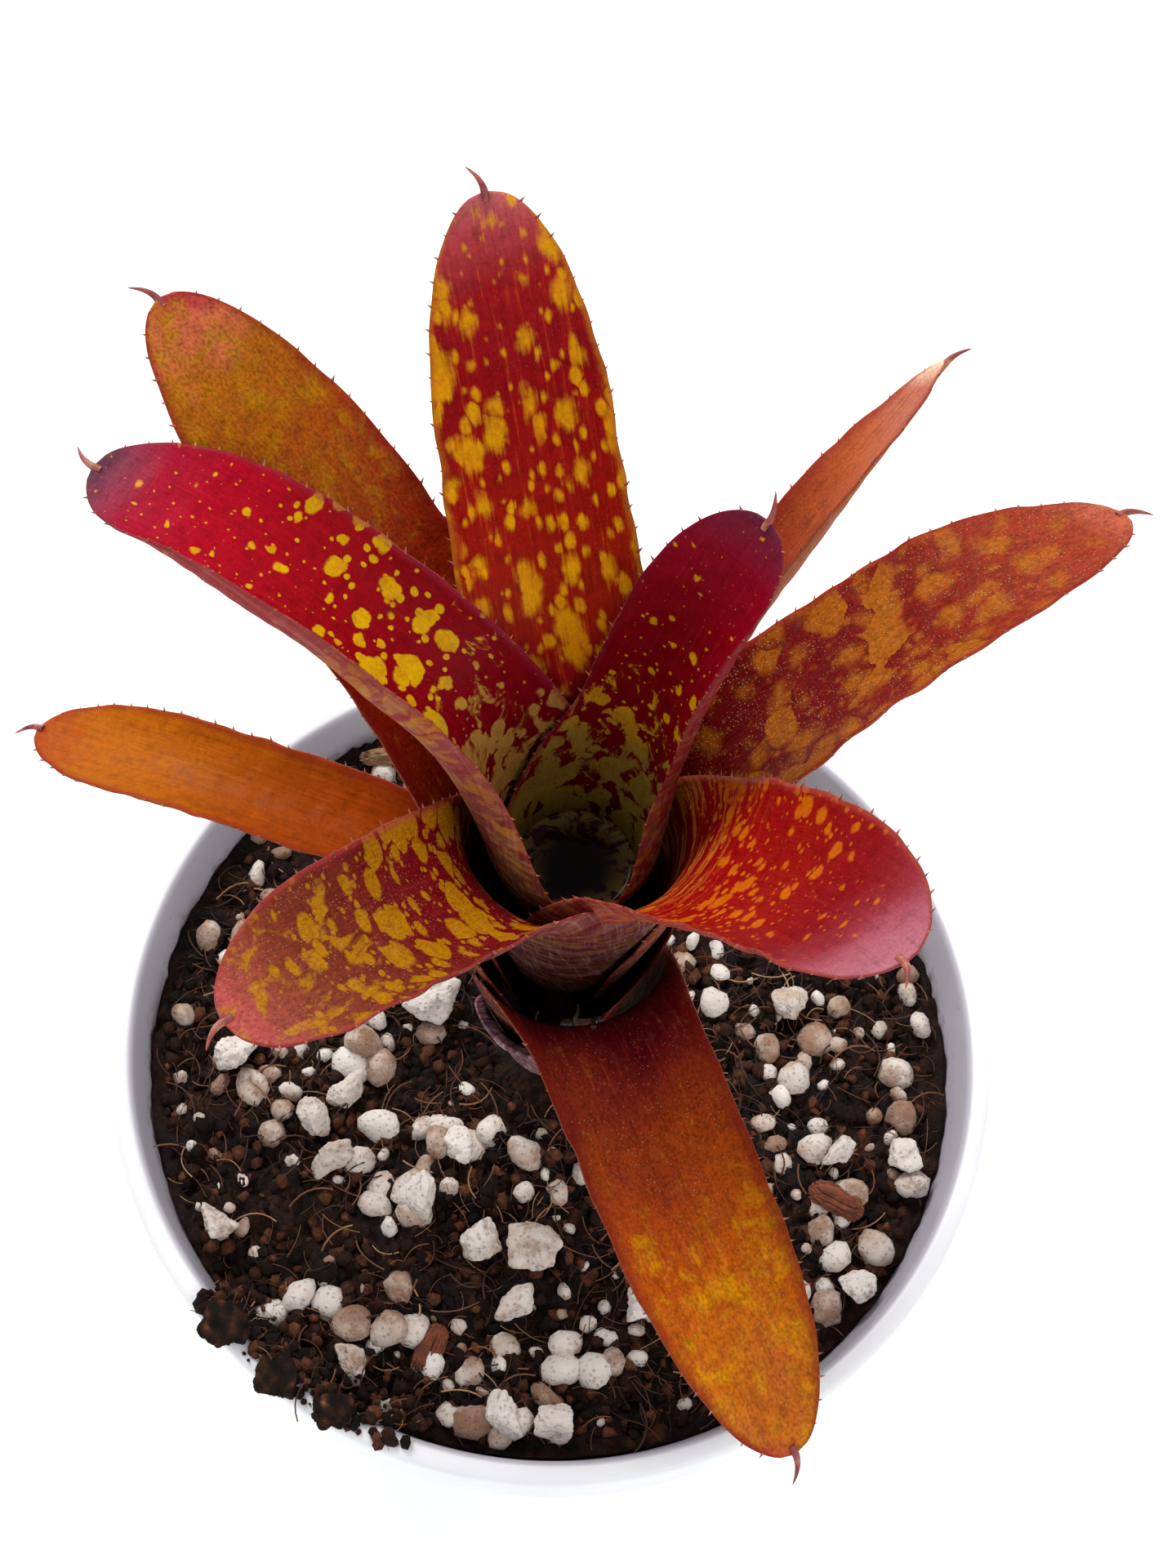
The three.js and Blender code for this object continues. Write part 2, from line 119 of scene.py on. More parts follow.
# Sheaths that reach further round the stem on one side: which side, and by how many degrees.
LONG_WRAPS = {6: (1, 36), 1: (-1, 8)}
DRIED_SHEATH = dict(azimuth=243, rise=18, blade=12, width=13, taper=0.1,
                    lean=74, arch=4, sweep=0, roll=0, channel=50, wrap=62, skew=0)
LAST_NODE = FIRST_NODE + NODE_SPACING * (len(LEAVES) - 1)


def srgb(red, green, blue):
    """A colour given as 0 to 255 screen values, as the linear values a shader takes."""
    def linear(value):
        share = value / 255
        return share / 12.92 if share <= 0.04045 else ((share + 0.055) / 1.055) ** 2.4
    return (linear(red), linear(green), linear(blue), 1.0)


# ---------------------------------------------------------------- node graphs
class Value:
    """One output of a node graph, which takes part in sums as a number does."""

    def __init__(self, graph, socket):
        self.graph = graph
        self.socket = socket

    def _sum(self, operation, first, second):
        return self.graph.node("ShaderNodeMath", {"operation": operation}, {0: first, 1: second})

    def __add__(self, other):
        return self._sum("ADD", self, other)

    def __radd__(self, other):
        return self._sum("ADD", other, self)

    def __sub__(self, other):
        return self._sum("SUBTRACT", self, other)

    def __rsub__(self, other):
        return self._sum("SUBTRACT", other, self)

    def __mul__(self, other):
        return self._sum("MULTIPLY", self, other)

    def __rmul__(self, other):
        return self._sum("MULTIPLY", other, self)

    def __truediv__(self, other):
        return self._sum("DIVIDE", self, other)

    def __pow__(self, other):
        return self._sum("POWER", self, other)

    def size(self):
        return self.graph.node("ShaderNodeMath", {"operation": "ABSOLUTE"}, {0: self})

    def at_most(self, other):
        return self._sum("MINIMUM", self, other)

    def at_least(self, other):
        return self._sum("MAXIMUM", self, other)

    def parts(self):
        """The three parts of a vector."""
        names = ("X", "Y", "Z")
        made = self.graph.node("ShaderNodeSeparateXYZ", {}, {0: self}, names[0])
        outputs = made.socket.node.outputs
        return [Value(self.graph, outputs[name]) for name in names]


class Graph:
    """Adds nodes to a shader tree or a geometry tree."""

    def __init__(self, tree):
        self.tree = tree

    def node(self, kind, settings=None, inputs=None, output=0):
        made = self.tree.nodes.new(kind)
        for name, value in (settings or {}).items():
            if name == "stops":
                self._set_stops(made.color_ramp, value)
            else:
                setattr(made, name, value)
        for name, value in (inputs or {}).items():
            if isinstance(value, Value):
                self.tree.links.new(value.socket, made.inputs[name])
            else:
                made.inputs[name].default_value = value
        return Value(self, made.outputs[output])

    @staticmethod
    def _set_stops(color_ramp, stops):
        elements = color_ramp.elements
        while len(elements) < len(stops):
            elements.new(0.5)
        for element, (place, color) in zip(elements, stops):
            element.position = place
            element.color = color if isinstance(color, tuple) else (color, color, color, 1)

    def vector(self, x, y, z):
        return self.node("ShaderNodeCombineXYZ", {}, {0: x, 1: y, 2: z})

    def ramp(self, value, stops):
        return self.node("ShaderNodeValToRGB", {"stops": stops}, {0: value})

    def step(self, value, low, high):
        """0 below low and 1 above high, with a soft step between."""
        settings = {"interpolation_type": "SMOOTHSTEP"}
        return self.node("ShaderNodeMapRange", settings, {0: value, 1: low, 2: high})

    def mix(self, share, first, second, blend="MIX"):
        settings = {"data_type": "RGBA", "blend_type": blend}
        return self.node("ShaderNodeMix", settings, {0: share, 6: first, 7: second}, 2)

    def noise(self, place, scale, detail=2.0, roughness=0.5, distortion=0.0):
        inputs = {"Vector": place, "Scale": scale, "Detail": detail,
                  "Roughness": roughness, "Distortion": distortion}
        return self.node("ShaderNodeTexNoise", {}, inputs)

    def cells(self, place, scale, feature="F1", randomness=1.0, output="Distance"):
        inputs = {"Vector": place, "Scale": scale, "Randomness": randomness}
        return self.node("ShaderNodeTexVoronoi", {"feature": feature}, inputs, output)


class Paint(Graph):
    """A material whose nodes end in one Principled shader."""

    def __init__(self, name):
        self.material = bpy.data.materials.new(name)
        self.material.use_nodes = True
        super().__init__(self.material.node_tree)
        self.shader = next(n for n in self.tree.nodes if n.type == "BSDF_PRINCIPLED")

    def place(self):
        return self.node("ShaderNodeTexCoord", {}, {}, "Object")

    def attribute(self, name, output="Vector"):
        return self.node("ShaderNodeAttribute", {"attribute_name": name}, {}, output)

    def bump(self, height, strength, distance):
        inputs = {"Strength": strength, "Distance": distance, "Height": height}
        return self.node("ShaderNodeBump", {}, inputs, "Normal")

    def finish(self, **inputs):
        for name, value in inputs.items():
            socket = self.shader.inputs[name.replace("_", " ")]
            if isinstance(value, Value):
                self.tree.links.new(value.socket, socket)
            else:
                socket.default_value = value
        return self.material


# ---------------------------------------------------------------- materials
# How each leaf looks, from the oldest to the youngest.
# along: colours of the skin, from the sheath (below 0) over the foot of the blade (0) to the tip (1); the
# near-black stops on the sheaths are painted shade deep in the rosette
# yellow, pale: colour of the blotches on the blade and near the cup
# spots, patch: how much of the skin is under round blotches and ragged patches, at PLACES along the leaf
# spacing, stretch, warp, small, soft: the blotches' size, length, raggedness, smaller kin and soft edge
# marginal, stripes, chevrons: more blotches at the margins, bands over the foot, bands on the outer face
# margin, rim: colour and width of the edge; dark: where the painted shade that blackens the foot of the cup
# ends
# scurf, streak, drift: white scales, whose pale dots also paint glints of light, lengthwise streaks, how far
# the colours wander; back: the outer face
LEAF_LOOKS = {
    # Leaf 1: its dark crimson stops up to 0.24 are its own red darkened with painted shade from the axil.
    1: dict(along=[(-0.3, (14, 3, 4)), (0.03, (26, 4, 6)), (0.13, (66, 5, 14)), (0.24, (96, 10, 22)),
                   (0.34, (122, 32, 24)), (0.47, (152, 58, 14)), (0.64, (170, 76, 8)),
                   (0.85, (176, 92, 16)), (0.95, (172, 84, 36)), (1.0, (160, 52, 36))],
            yellow=(196, 132, 0), pale=(168, 112, 30), spots=(0, 0, 0, 0.1), spacing=7.0, stretch=1.6,
            patch=(0, 0.3, 0.92, 0.92), margin=(122, 30, 20), scurf_and_glints=1.0, streak=0.55, back=(140, 72, 44),
            soft=0.16, rim=0.22, drift=0.34),
    2: dict(along=[(-0.3, (60, 8, 8)), (0.0, (96, 16, 12)), (0.12, (132, 46, 8)), (0.3, (148, 56, 2)),
                   (0.5, (150, 66, 0)), (0.72, (168, 88, 0)), (0.88, (174, 92, 2)), (0.95, (160, 60, 22)),
                   (1.0, (150, 40, 32))],
            yellow=(196, 122, 0), pale=(190, 104, 20), spots=(0, 0, 0, 0), spacing=8.0, stretch=2.0,
            patch=(0, 0.3, 0.7, 0.5), margin=(140, 36, 20), scurf_and_glints=0.06, streak=0.35, back=(150, 82, 36),
            soft=0.15, rim=0.2, drift=0.2),
    3: dict(along=[(-0.3, (60, 20, 10)), (0.0, (84, 34, 10)), (0.3, (104, 14, 12)), (0.5, (124, 28, 16)),
                   (0.66, (146, 60, 24)), (0.82, (168, 80, 40)), (0.94, (172, 92, 66)),
                   (0.972, (226, 190, 160)), (1.0, (238, 218, 194))],
            yellow=(176, 96, 14), pale=(180, 110, 40), spots=(0.1, 0.1, 0.1, 0.0), spacing=5.0,
            stretch=1.6, patch=(0, 0.3, 0.6, 0.3), margin=(132, 36, 26), scurf_and_glints=0.5, streak=0.4,
            back=(156, 84, 44), soft=0.16, rim=0.42),
    4: dict(along=[(-0.3, (60, 14, 10)), (0.0, (92, 32, 14)), (0.16, (116, 40, 12)), (0.28, (134, 32, 10)),
                   (0.42, (150, 32, 8)), (0.58, (152, 52, 6)), (0.75, (152, 74, 6)), (0.88, (166, 92, 14)),
                   (0.96, (186, 92, 62)), (1.0, (168, 56, 54))],
            yellow=(164, 112, 0), pale=(146, 92, 12), spots=(0.05, 0.1, 0.16, 0.1), spacing=6.5,
            stretch=1.6, patch=(0.3, 0.44, 0.92, 0.94), margin=(128, 22, 20), scurf_and_glints=1.1, streak=0.35,
            back=(146, 84, 50), soft=0.16, rim=0.2, drift=0.34),
    5: dict(along=[(-0.3, (60, 6, 10)), (0.0, (92, 8, 10)), (0.3, (96, 6, 8)), (0.5, (106, 12, 8)),
                   (0.64, (116, 20, 8)), (0.78, (132, 38, 14)), (0.9, (146, 50, 26)),
                   (1.0, (190, 104, 78))],
            yellow=(162, 90, 8), pale=(138, 82, 8), spots=(0.4, 0.7, 0.64, 0.1), spacing=3.8, stretch=1.0,
            patch=(0, 0, 0.2, 0), margin=(140, 36, 30), scurf_and_glints=1.35, streak=0.1, back=(156, 82, 54),
            soft=0.3, warp=0.8, small=0.3),
    6: dict(along=[(-0.3, (40, 2, 6)), (0.0, (70, 2, 10)), (0.14, (98, 4, 16)), (0.34, (104, 8, 18)),
                   (0.5, (104, 22, 20)), (0.66, (106, 38, 26)), (0.82, (120, 52, 34)),
                   (0.93, (146, 66, 54)), (1.0, (172, 74, 74))],
            yellow=(168, 114, 0), pale=(150, 104, 14), spots=(0.4, 0.5, 0.4, 0.1), spacing=3.8,
            stretch=0.55, patch=(0.3, 0.26, 0.86, 0.9), margin=(146, 44, 46), scurf_and_glints=0.7, streak=0.12,
            back=(96, 36, 42), soft=0.07, warp=0.35, small=0.5, chevrons=0.15),
    # Leaf 7: its pink and lilac stops from 0.84 to the tip paint a sheen of light on the tip.
    7: dict(along=[(-0.5, (70, 6, 8)), (0.0, (110, 8, 10)), (0.16, (136, 10, 16)), (0.34, (140, 6, 12)),
                   (0.55, (140, 16, 10)), (0.74, (126, 11, 18)), (0.84, (136, 40, 50)),
                   (0.92, (162, 84, 98)), (1.0, (170, 104, 116))],
            yellow=(196, 100, 4), pale=(196, 124, 44), spots=(0.1, 0.38, 0.24, 0.0), spacing=2.8,
            stretch=0.8, patch=(0, 0, 0, 0), stripes=1.0, margin=(146, 56, 44), scurf_and_glints=0.16, streak=0.12,
            back=(140, 44, 46), soft=0.08, warp=0.35, small=0.7, chevrons=0.5),
    8: dict(along=[(-0.4, (60, 4, 8)), (0.0, (96, 8, 14)), (0.16, (134, 10, 18)), (0.3, (142, 24, 4)),
                   (0.45, (142, 16, 4)), (0.7, (136, 6, 14)), (0.84, (144, 18, 24)), (0.92, (164, 58, 62)),
                   (1.0, (188, 100, 104))],
            yellow=(218, 152, 0), pale=(206, 130, 0), spots=(0.22, 0.36, 0.3, 0.16), spacing=3.7,
            stretch=1.45, patch=(0.1, 0.14, 0.1, 0.4), margin=(170, 96, 20), scurf_and_glints=0.14, streak=0.75,
            back=(138, 56, 60), soft=0.16, marginal=0.24, warp=0.5),
    9: dict(along=[(-0.4, (14, 4, 4)), (-0.24, (42, 4, 8)), (0.0, (92, 4, 14)), (0.2, (120, 2, 18)),
                   (0.4, (128, 0, 14)), (0.6, (146, 4, 18)), (0.78, (164, 4, 30)), (0.9, (156, 18, 44)),
                   (0.97, (128, 50, 70)), (1.0, (88, 46, 62))],
            yellow=(216, 168, 0), pale=(178, 142, 66), spots=(0.42, 0.46, 0.26, 0.04), spacing=3.4,
            stretch=0.92, patch=(1.0, 0.7, 0.1, 0), margin=(126, 30, 46), scurf_and_glints=0.04, streak=0.12,
            back=(150, 62, 60), soft=0.05, warp=0.6, dark=(-0.28, -0.06), chevrons=0.8, small=0.62),
    10: dict(along=[(-0.37, (8, 4, 4)), (-0.22, (34, 8, 10)), (-0.06, (84, 6, 14)), (0.2, (102, 4, 12)),
                    (0.4, (112, 2, 12)), (0.65, (122, 0, 16)), (0.85, (128, 4, 28)), (0.95, (112, 26, 50)),
                    (1.0, (84, 34, 54))],
             yellow=(206, 152, 0), pale=(148, 130, 52), spots=(0.5, 0.34, 0.09, 0.05), spacing=3.3,
             stretch=0.9, patch=(1.0, 0.86, 0.26, 0), margin=(108, 14, 34), scurf_and_glints=0.04, streak=0.12,
             back=(136, 44, 54), soft=0.04, warp=0.6, dark=(-0.26, -0.05), chevrons=0.45, small=0.6),
}
PLACES = (0.02, 0.34, 0.66, 0.97)
SHEATH_SHARE = 0.5


def leaf_material(number, look):
    """Skin of one leaf, laid out on its own places: across and along the leaf, in millimetres."""
    paint = Paint(f"leaf_{number:02d}_skin")
    across, along, back = paint.attribute("leaf_place").parts()
    side, share, _ = paint.attribute("leaf_share").parts()
    seed = number * 3.7

    def field(per_across, per_along, turn=0.0):
        return paint.vector(across * per_across + turn, along * per_along + turn, seed + turn)

    def along_stops(stops):
        return [((at + SHEATH_SHARE) / (1 + SHEATH_SHARE), value) for at, value in stops]

    place = (share + SHEATH_SHARE) / (1 + SHEATH_SHARE)
    broad = paint.noise(field(0.09, 0.07), 1.0, 3.0) - 0.5
    skin = [(at, srgb(*color)) for at, color in look["along"]]
    body = paint.ramp(place + broad * look.get("drift", 0.1), along_stops(skin))
    fine = paint.noise(field(2.4, 1.5), 1.0, 4.0, 0.65)
    mottle = paint.noise(field(0.8, 0.8, 7), 1.0, 4.0, 0.65)

    # Lengthwise streaks fray the ends of the blotches and tint the skin between them.
    streaks = paint.noise(field(2.6, 0.16), 1.0, 4.0, 0.6)
    fray = (streaks - 0.5) * (look["streak"] * 0.9) + (fine - 0.5) * 0.16
    warp_x = paint.noise(field(0.4, 0.4, 2), 1.0, 3.0) - 0.5
    warp_y = paint.noise(field(0.4, 0.4, 5), 1.0, 3.0) - 0.5
    density = paint.noise(field(0.13, 0.12, 4), 1.0, 2.0)
    amount = paint.ramp(place, along_stops(list(zip(PLACES, look["spots"]))))
    crowded = paint.step(density, 0.3, 0.66)
    reach = amount * (0.3 + crowded * 0.95) + side * side * look.get("marginal", 0.0)

    soft, warp = look.get("soft", 0.035), look.get("warp", 0.6)

    def blotches(spacing, stretch, turn, share_of_cell):
        cell = {"voronoi_dimensions": "2D"}
        spot = paint.vector(across / spacing + warp_x * warp + turn * 1.37,
                            along / (spacing * stretch) + warp_y * warp + seed + turn, 0.0)
        inputs = {"Vector": spot, "Scale": 1.0}
        nearest = paint.node("ShaderNodeTexVoronoi", cell, inputs, "Distance")
        draw, _, _ = paint.node("ShaderNodeTexVoronoi", cell, inputs, "Color").parts()
        wide = reach * share_of_cell * (0.25 + draw * 0.95)
        return paint.step(wide - nearest + fray * 0.5, -0.6 * soft, soft)

    spacing, stretch = look["spacing"], look["stretch"]
    marks = blotches(spacing, stretch, 0.0, 1.0)
    marks = marks.at_least(blotches(spacing * 0.46, stretch * 1.1, 3.0, look.get("small", 0.85)))
    patch_amount = paint.ramp(place, along_stops(list(zip(PLACES, look["patch"]))))
    patch_wave = paint.noise(field(0.34, 0.3, 11), 1.0, 5.0, 0.62, 0.6)
    patch = paint.step(patch_wave + fray * 0.3 - (1.02 - patch_amount * 0.54), -0.6 * soft, soft)
    marks = marks.at_least(patch)
    if look.get("stripes"):
        band = paint.noise(paint.vector(across * 0.12, along * 1.15 + warp_x * 1.2, seed), 1.0, 4.0, 0.6, 0.4)
        near_base = 1 - paint.step(share, 0.22, 0.42)
        marks = marks.at_least(paint.step(band + (fine - 0.5) * 0.1, 0.5, 0.56) * near_base * 0.85)
    cupward = 1 - paint.step(share + (density - 0.5) * 0.3, 0.12, 0.34)
    yellow = paint.mix(cupward, srgb(*look["yellow"]), srgb(*look["pale"]))
    yellow = paint.mix(paint.step(mottle, 0.35, 0.7) * 0.4, yellow, body)
    body = paint.mix(marks * 0.96, body, yellow)
    # Painted shade: towards the foot of the cup the skin is darkened to near black, where the rosette is in
    # shade.
    deep, lit = look.get("dark", (-0.4, 0.04))
    cup_foot_shade = paint.ramp(place, along_stops([(deep, 0.96), (deep * 0.5 + lit * 0.5, 0.6), (lit, 0.0)]))
    body = paint.mix(cup_foot_shade, body, srgb(10, 5, 4))

    glow_lines = paint.step(streaks, 0.56, 0.72) * (look["streak"] * 0.45)
    body = paint.mix(glow_lines, body, srgb(188, 88, 10))
    streak_shade = paint.ramp(
        streaks, [(0.3, (0.66, 0.55, 0.5, 1)), (0.5, (1, 1, 1, 1)), (0.72, (1.08, 0.96, 0.85, 1))])
    body = paint.mix(0.3 + look["streak"] * 0.4, body, streak_shade, "MULTIPLY")
    mottle_shade = paint.ramp(
        mottle, [(0.28, (0.64, 0.58, 0.6, 1)), (0.5, (1, 1, 1, 1)), (0.75, (1.1, 1.05, 1.0, 1))])
    body = paint.mix(0.7, body, mottle_shade, "MULTIPLY")

    # A pebbled skin, and tiny white scales standing in rows along the blade, whose pale dots also paint
    # glints of light on the waxy skin.
    scales = paint.cells(field(2.9, 2.3), 1.0, "F1", 0.7)
    scale_patch = paint.noise(field(0.6, 0.22, 1), 1.0, 3.0)
    showing = paint.step(scale_patch, 0.34, 0.66) * look["scurf_and_glints"]
    pebble = paint.noise(field(3.4, 2.6, 9), 1.0, 2.0)
    pebble_shade = paint.ramp(
        pebble, [(0.32, (0.62, 0.56, 0.56, 1)), (0.5, (1, 1, 1, 1)), (0.68, (1.3, 1.3, 1.35, 1))])
    body = paint.mix(min(0.25 + look["scurf_and_glints"] * 0.5, 0.8), body, pebble_shade, "MULTIPLY")
    scurf_and_glints = (1 - paint.step(scales, 0.08, 0.26)) * showing
    bloom = paint.step(paint.noise(field(0.9, 0.5, 6), 1.0, 5.0), 0.56, 0.8)
    body = paint.mix(bloom * look["scurf_and_glints"] * 0.05, body, srgb(206, 150, 110))
    # Partly painted highlight: the pale dots are the leaf's own scales and also stand in for glints of light
    # on the skin.
    body = paint.mix((scurf_and_glints * 0.5).at_most(0.6), body, srgb(228, 180, 138))

    # Margin line, and the duller back with its pale cross bands.
    edge = paint.step(side.size() + (fine - 0.5) * 0.12, 1 - look.get("rim", 0.1), 1.0)
    body = paint.mix(edge * 0.7, body, srgb(*look["margin"]))
    band_wave = paint.noise(field(0.16, 0.8, 3), 1.0, 3.0)
    dull = paint.mix(paint.step(share, -0.1, 0.3), srgb(60, 14, 22), srgb(*look["back"]))
    slanted = paint.vector(across * 0.5, along * 1.5 + side.size() * 5 + warp_x, seed)
    chevrons = paint.noise(slanted, 1.0, 3.0, 0.6)
    near_cup = 1 - paint.step(share, 0.3, 0.62)
    chevron_share = paint.step(chevrons, 0.48, 0.6) * near_cup * look.get("chevrons", 0.25)
    dull = paint.mix(chevron_share, dull, srgb(184, 118, 40))
    dull = paint.mix(paint.step(band_wave, 0.45, 0.62) * 0.16, dull, srgb(170, 132, 120))
    dull = paint.mix(paint.step(streaks, 0.52, 0.68) * 0.2, dull, srgb(176, 148, 152))
    dull = paint.mix(0.6, dull, streak_shade, "MULTIPLY")
    body = paint.mix(back, body, paint.mix(0.78, body, dull))

    ridges = paint.noise(field(3.4, 0.16), 1.0, 2.0)
    wrinkles = paint.noise(field(0.5, 3.2, 8), 1.0, 3.0)
    tipward = paint.step(share, 0.6, 1.0)
    height = ridges * 0.5 + pebble * (0.2 + look["scurf_and_glints"] * 0.5) + scurf_and_glints * 0.6 + wrinkles * tipward * 0.5
    gloss = paint.ramp(mottle, [(0.3, 0.36), (0.7, 0.52)])
    return paint.finish(Base_Color=body, Roughness=gloss + scurf_and_glints * 0.3 + back * 0.12,
                        Specular_IOR_Level=0.05, Normal=paint.bump(height, 0.7, 0.00016))


def plain_material(name, scale, detail, colors, **finish):
    """Skin of a small part: one noise that runs between a few colours."""
    paint = Paint(name)
    tone = paint.noise(paint.place(), scale, detail)
    return paint.finish(Base_Color=paint.ramp(tone, [(at, srgb(*color)) for at, color in colors]), **finish)


def dried_material():
    """Papery skin of the dead sheath, streaked lengthwise."""
    paint = Paint("dried_sheath_paper")
    across, along, _ = paint.attribute("leaf_place").parts()
    streaks = paint.noise(paint.vector(across * 1.6, along * 0.12, 1.0), 1.0, 5.0, 0.65)
    body = paint.ramp(streaks, [(0.3, srgb(84, 26, 38)), (0.44, srgb(124, 66, 78)),
                                (0.56, srgb(162, 128, 136)), (0.7, srgb(198, 178, 176))])
    grime = paint.noise(paint.vector(across * 0.4, along * 0.3, 5.0), 1.0, 3.0)
    body = paint.mix(paint.step(grime, 0.5, 0.7) * 0.7, body, srgb(58, 30, 26))
    fibre = paint.noise(paint.vector(across * 4.0, along * 0.2, 2.0), 1.0, 3.0)
    return paint.finish(Base_Color=body, Roughness=0.75, Normal=paint.bump(fibre, 0.7, 0.0002))


def pot_material():
    """White plastic, rubbed outside, with painted shade on the inner face of the rim band and dried mix
    inside above the soil.
    """
    paint = Paint("pot_white_plastic")
    place = paint.place()
    x, y, z = place.parts()
    cloud = paint.noise(place, 60.0, 3.0)
    body = paint.ramp(cloud, [(0.35, srgb(230, 230, 234)), (0.7, srgb(240, 240, 242))])
    # The inner face of the rim band is tinted grey lavender as painted shade, and a film of dried mix clings
    # to the inner wall just above the soil.
    radius = (x * x + y * y) ** 0.5
    lean = (RIM_INNER_RADIUS - inner_radius(WALL_TOP)) / RIM_BAND
    wall = (z - WALL_TOP * MM) * lean + inner_radius(WALL_TOP) * MM
    above_step = paint.step(z, (WALL_TOP + 0.2) * MM, (WALL_TOP + 1) * MM)
    inside = (1 - paint.step(radius - wall, 0.2 * MM, 0.7 * MM)) * above_step
    # Painted shade: the grey lavender tint on the inner face of the rim band.
    body = paint.mix(inside, body, srgb(188, 185, 196))
    film = 1 - paint.step(z, (SOIL_LEVEL - 0.5) * MM, (SOIL_LEVEL + 3.5) * MM)
    dabs = paint.step(paint.noise(place, 420.0, 5.0, 0.7), 0.5, 0.68)
    body = paint.mix(dabs * film * inside * 0.55, body, srgb(112, 90, 78))
    specks = 1 - paint.step(paint.cells(place, 520.0), 0.1, 0.16)
    speck_patch = paint.step(paint.noise(place, 90.0, 2.0), 0.56, 0.66)
    body = paint.mix(specks * speck_patch * inside * 0.6, body, srgb(96, 70, 56))
    # Fine rubbing marks on the outside, running round the pot.
    scuffs = paint.noise(paint.vector(x * 0.4, y * 0.4, z * 6.0), 900.0, 3.0)
    scuff_line = paint.step(scuffs, 0.62, 0.72)
    body = paint.mix(scuff_line * 0.12, body, srgb(196, 198, 202))
    pebble = paint.noise(place, 1500.0, 2.0)
    return paint.finish(Base_Color=body, Roughness=0.36 + scuff_line * 0.2 + cloud * 0.08,
                        Normal=paint.bump(pebble, 0.12, 0.0001))


def soil_material():
    """Dark peat with rusty places."""
    paint = Paint("peat_mix")
    place = paint.place()
    coarse = paint.noise(place, 260.0, 6.0, 0.65)
    fine = paint.noise(place, 1400.0, 4.0, 0.7)
    body = paint.ramp(coarse * 0.65 + fine * 0.35,
                      [(0.34, srgb(9, 5, 4)), (0.47, srgb(22, 13, 10)), (0.58, srgb(44, 26, 18)),
                       (0.72, srgb(84, 52, 36))])
    rusty = paint.step(paint.noise(place, 170.0, 3.0), 0.6, 0.7)
    body = paint.mix(rusty * 0.5, body, srgb(92, 48, 28))
    grit = paint.noise(place, 2600.0, 3.0)
    damp = paint.ramp(coarse, [(0.35, 0.55), (0.6, 0.9)])
    return paint.finish(Base_Color=body, Roughness=damp, Specular_IOR_Level=0.15,
                        Normal=paint.bump(fine * 0.6 + grit * 0.4, 0.9, 0.0005))


def crumb_material():
    """Peat crumbs, each with its own tone."""
    paint = Paint("peat_crumbs")
    tone = paint.attribute("tone", "Fac")
    place = paint.place()
    fine = paint.noise(place, 1800.0, 4.0, 0.7)
    body = paint.ramp(tone * 0.75 + (fine - 0.5) * 0.7,
                      [(0.0, srgb(12, 7, 5)), (0.3, srgb(28, 16, 11)), (0.53, srgb(54, 31, 21)),
                       (0.76, srgb(98, 58, 37)), (1.0, srgb(160, 112, 74))])
    return paint.finish(Base_Color=body, Roughness=0.85, Specular_IOR_Level=0.15,
                        Normal=paint.bump(fine, 0.8, 0.0003))


def fibre_material():
    """Loose fibres, each with its own tone."""
    paint = Paint("peat_fibres")
    tone = paint.attribute("tone", "Fac")
    streak = paint.noise(paint.place(), 900.0, 2.0)
    body = paint.ramp(tone * 0.8 + streak * 0.2,
                      [(0.1, srgb(38, 20, 14)), (0.5, srgb(86, 48, 30)), (0.78, srgb(128, 82, 50)),
                       (0.95, srgb(188, 150, 104))])
    return paint.finish(Base_Color=body, Roughness=0.8)


def perlite_material():
    """Pitted white foam, stained by the peat."""
    paint = Paint("perlite_foam")
    tone = paint.attribute("tone", "Fac")
    place = paint.place()
    cloud = paint.noise(place, 230.0, 4.0, 0.6)
    body = paint.ramp(cloud + (tone - 0.5) * 0.5,
                      [(0.2, srgb(150, 118, 98)), (0.36, srgb(190, 168, 152)), (0.52, srgb(214, 202, 192)),
                       (0.8, srgb(228, 220, 212))])
    stain_where = paint.noise(place, 330.0, 5.0, 0.7)
    stain = paint.step(stain_where + (0.5 - tone) * 0.18, 0.5, 0.66)
    body = paint.mix(stain * 0.62, body, srgb(132, 88, 60))
    pores = 1 - paint.step(paint.cells(place, 1500.0), 0.12, 0.34)
    body = paint.mix(pores * 0.28, body, srgb(120, 96, 82))
    pitted = paint.noise(place, 1700.0, 4.0, 0.7)
    return paint.finish(Base_Color=body, Roughness=0.88,
                        Normal=paint.bump(pitted * 0.7 - pores * 0.5, 0.8, 0.0004))


def wood_material(name, dark, light):
    """Split wood, its grain running along X."""
    paint = Paint(name)
    place = paint.place()
    x, y, z = place.parts()
    grain = paint.noise(paint.vector(x * 0.25, y, z * 1.5), 1600.0, 5.0, 0.7)
    body = paint.ramp(grain, [(0.3, srgb(*dark)), (0.7, srgb(*light))])
    dirt = paint.step(paint.noise(place, 500.0, 4.0), 0.5, 0.66)
    body = paint.mix(dirt * 0.45, body, srgb(40, 26, 20))
    return paint.finish(Base_Color=body, Roughness=0.85, Normal=paint.bump(grain, 0.8, 0.0003))


def stem_material():
    """Streaked rind of the stem."""
    paint = Paint("stem_rind")
    place = paint.place()
    streaks = paint.noise(place, 900.0, 3.0)
    body = paint.ramp(streaks, [(0.3, srgb(96, 66, 40)), (0.7, srgb(146, 118, 74))])
    return paint.finish(Base_Color=body, Roughness=0.7, Normal=paint.bump(streaks, 0.5, 0.0002))


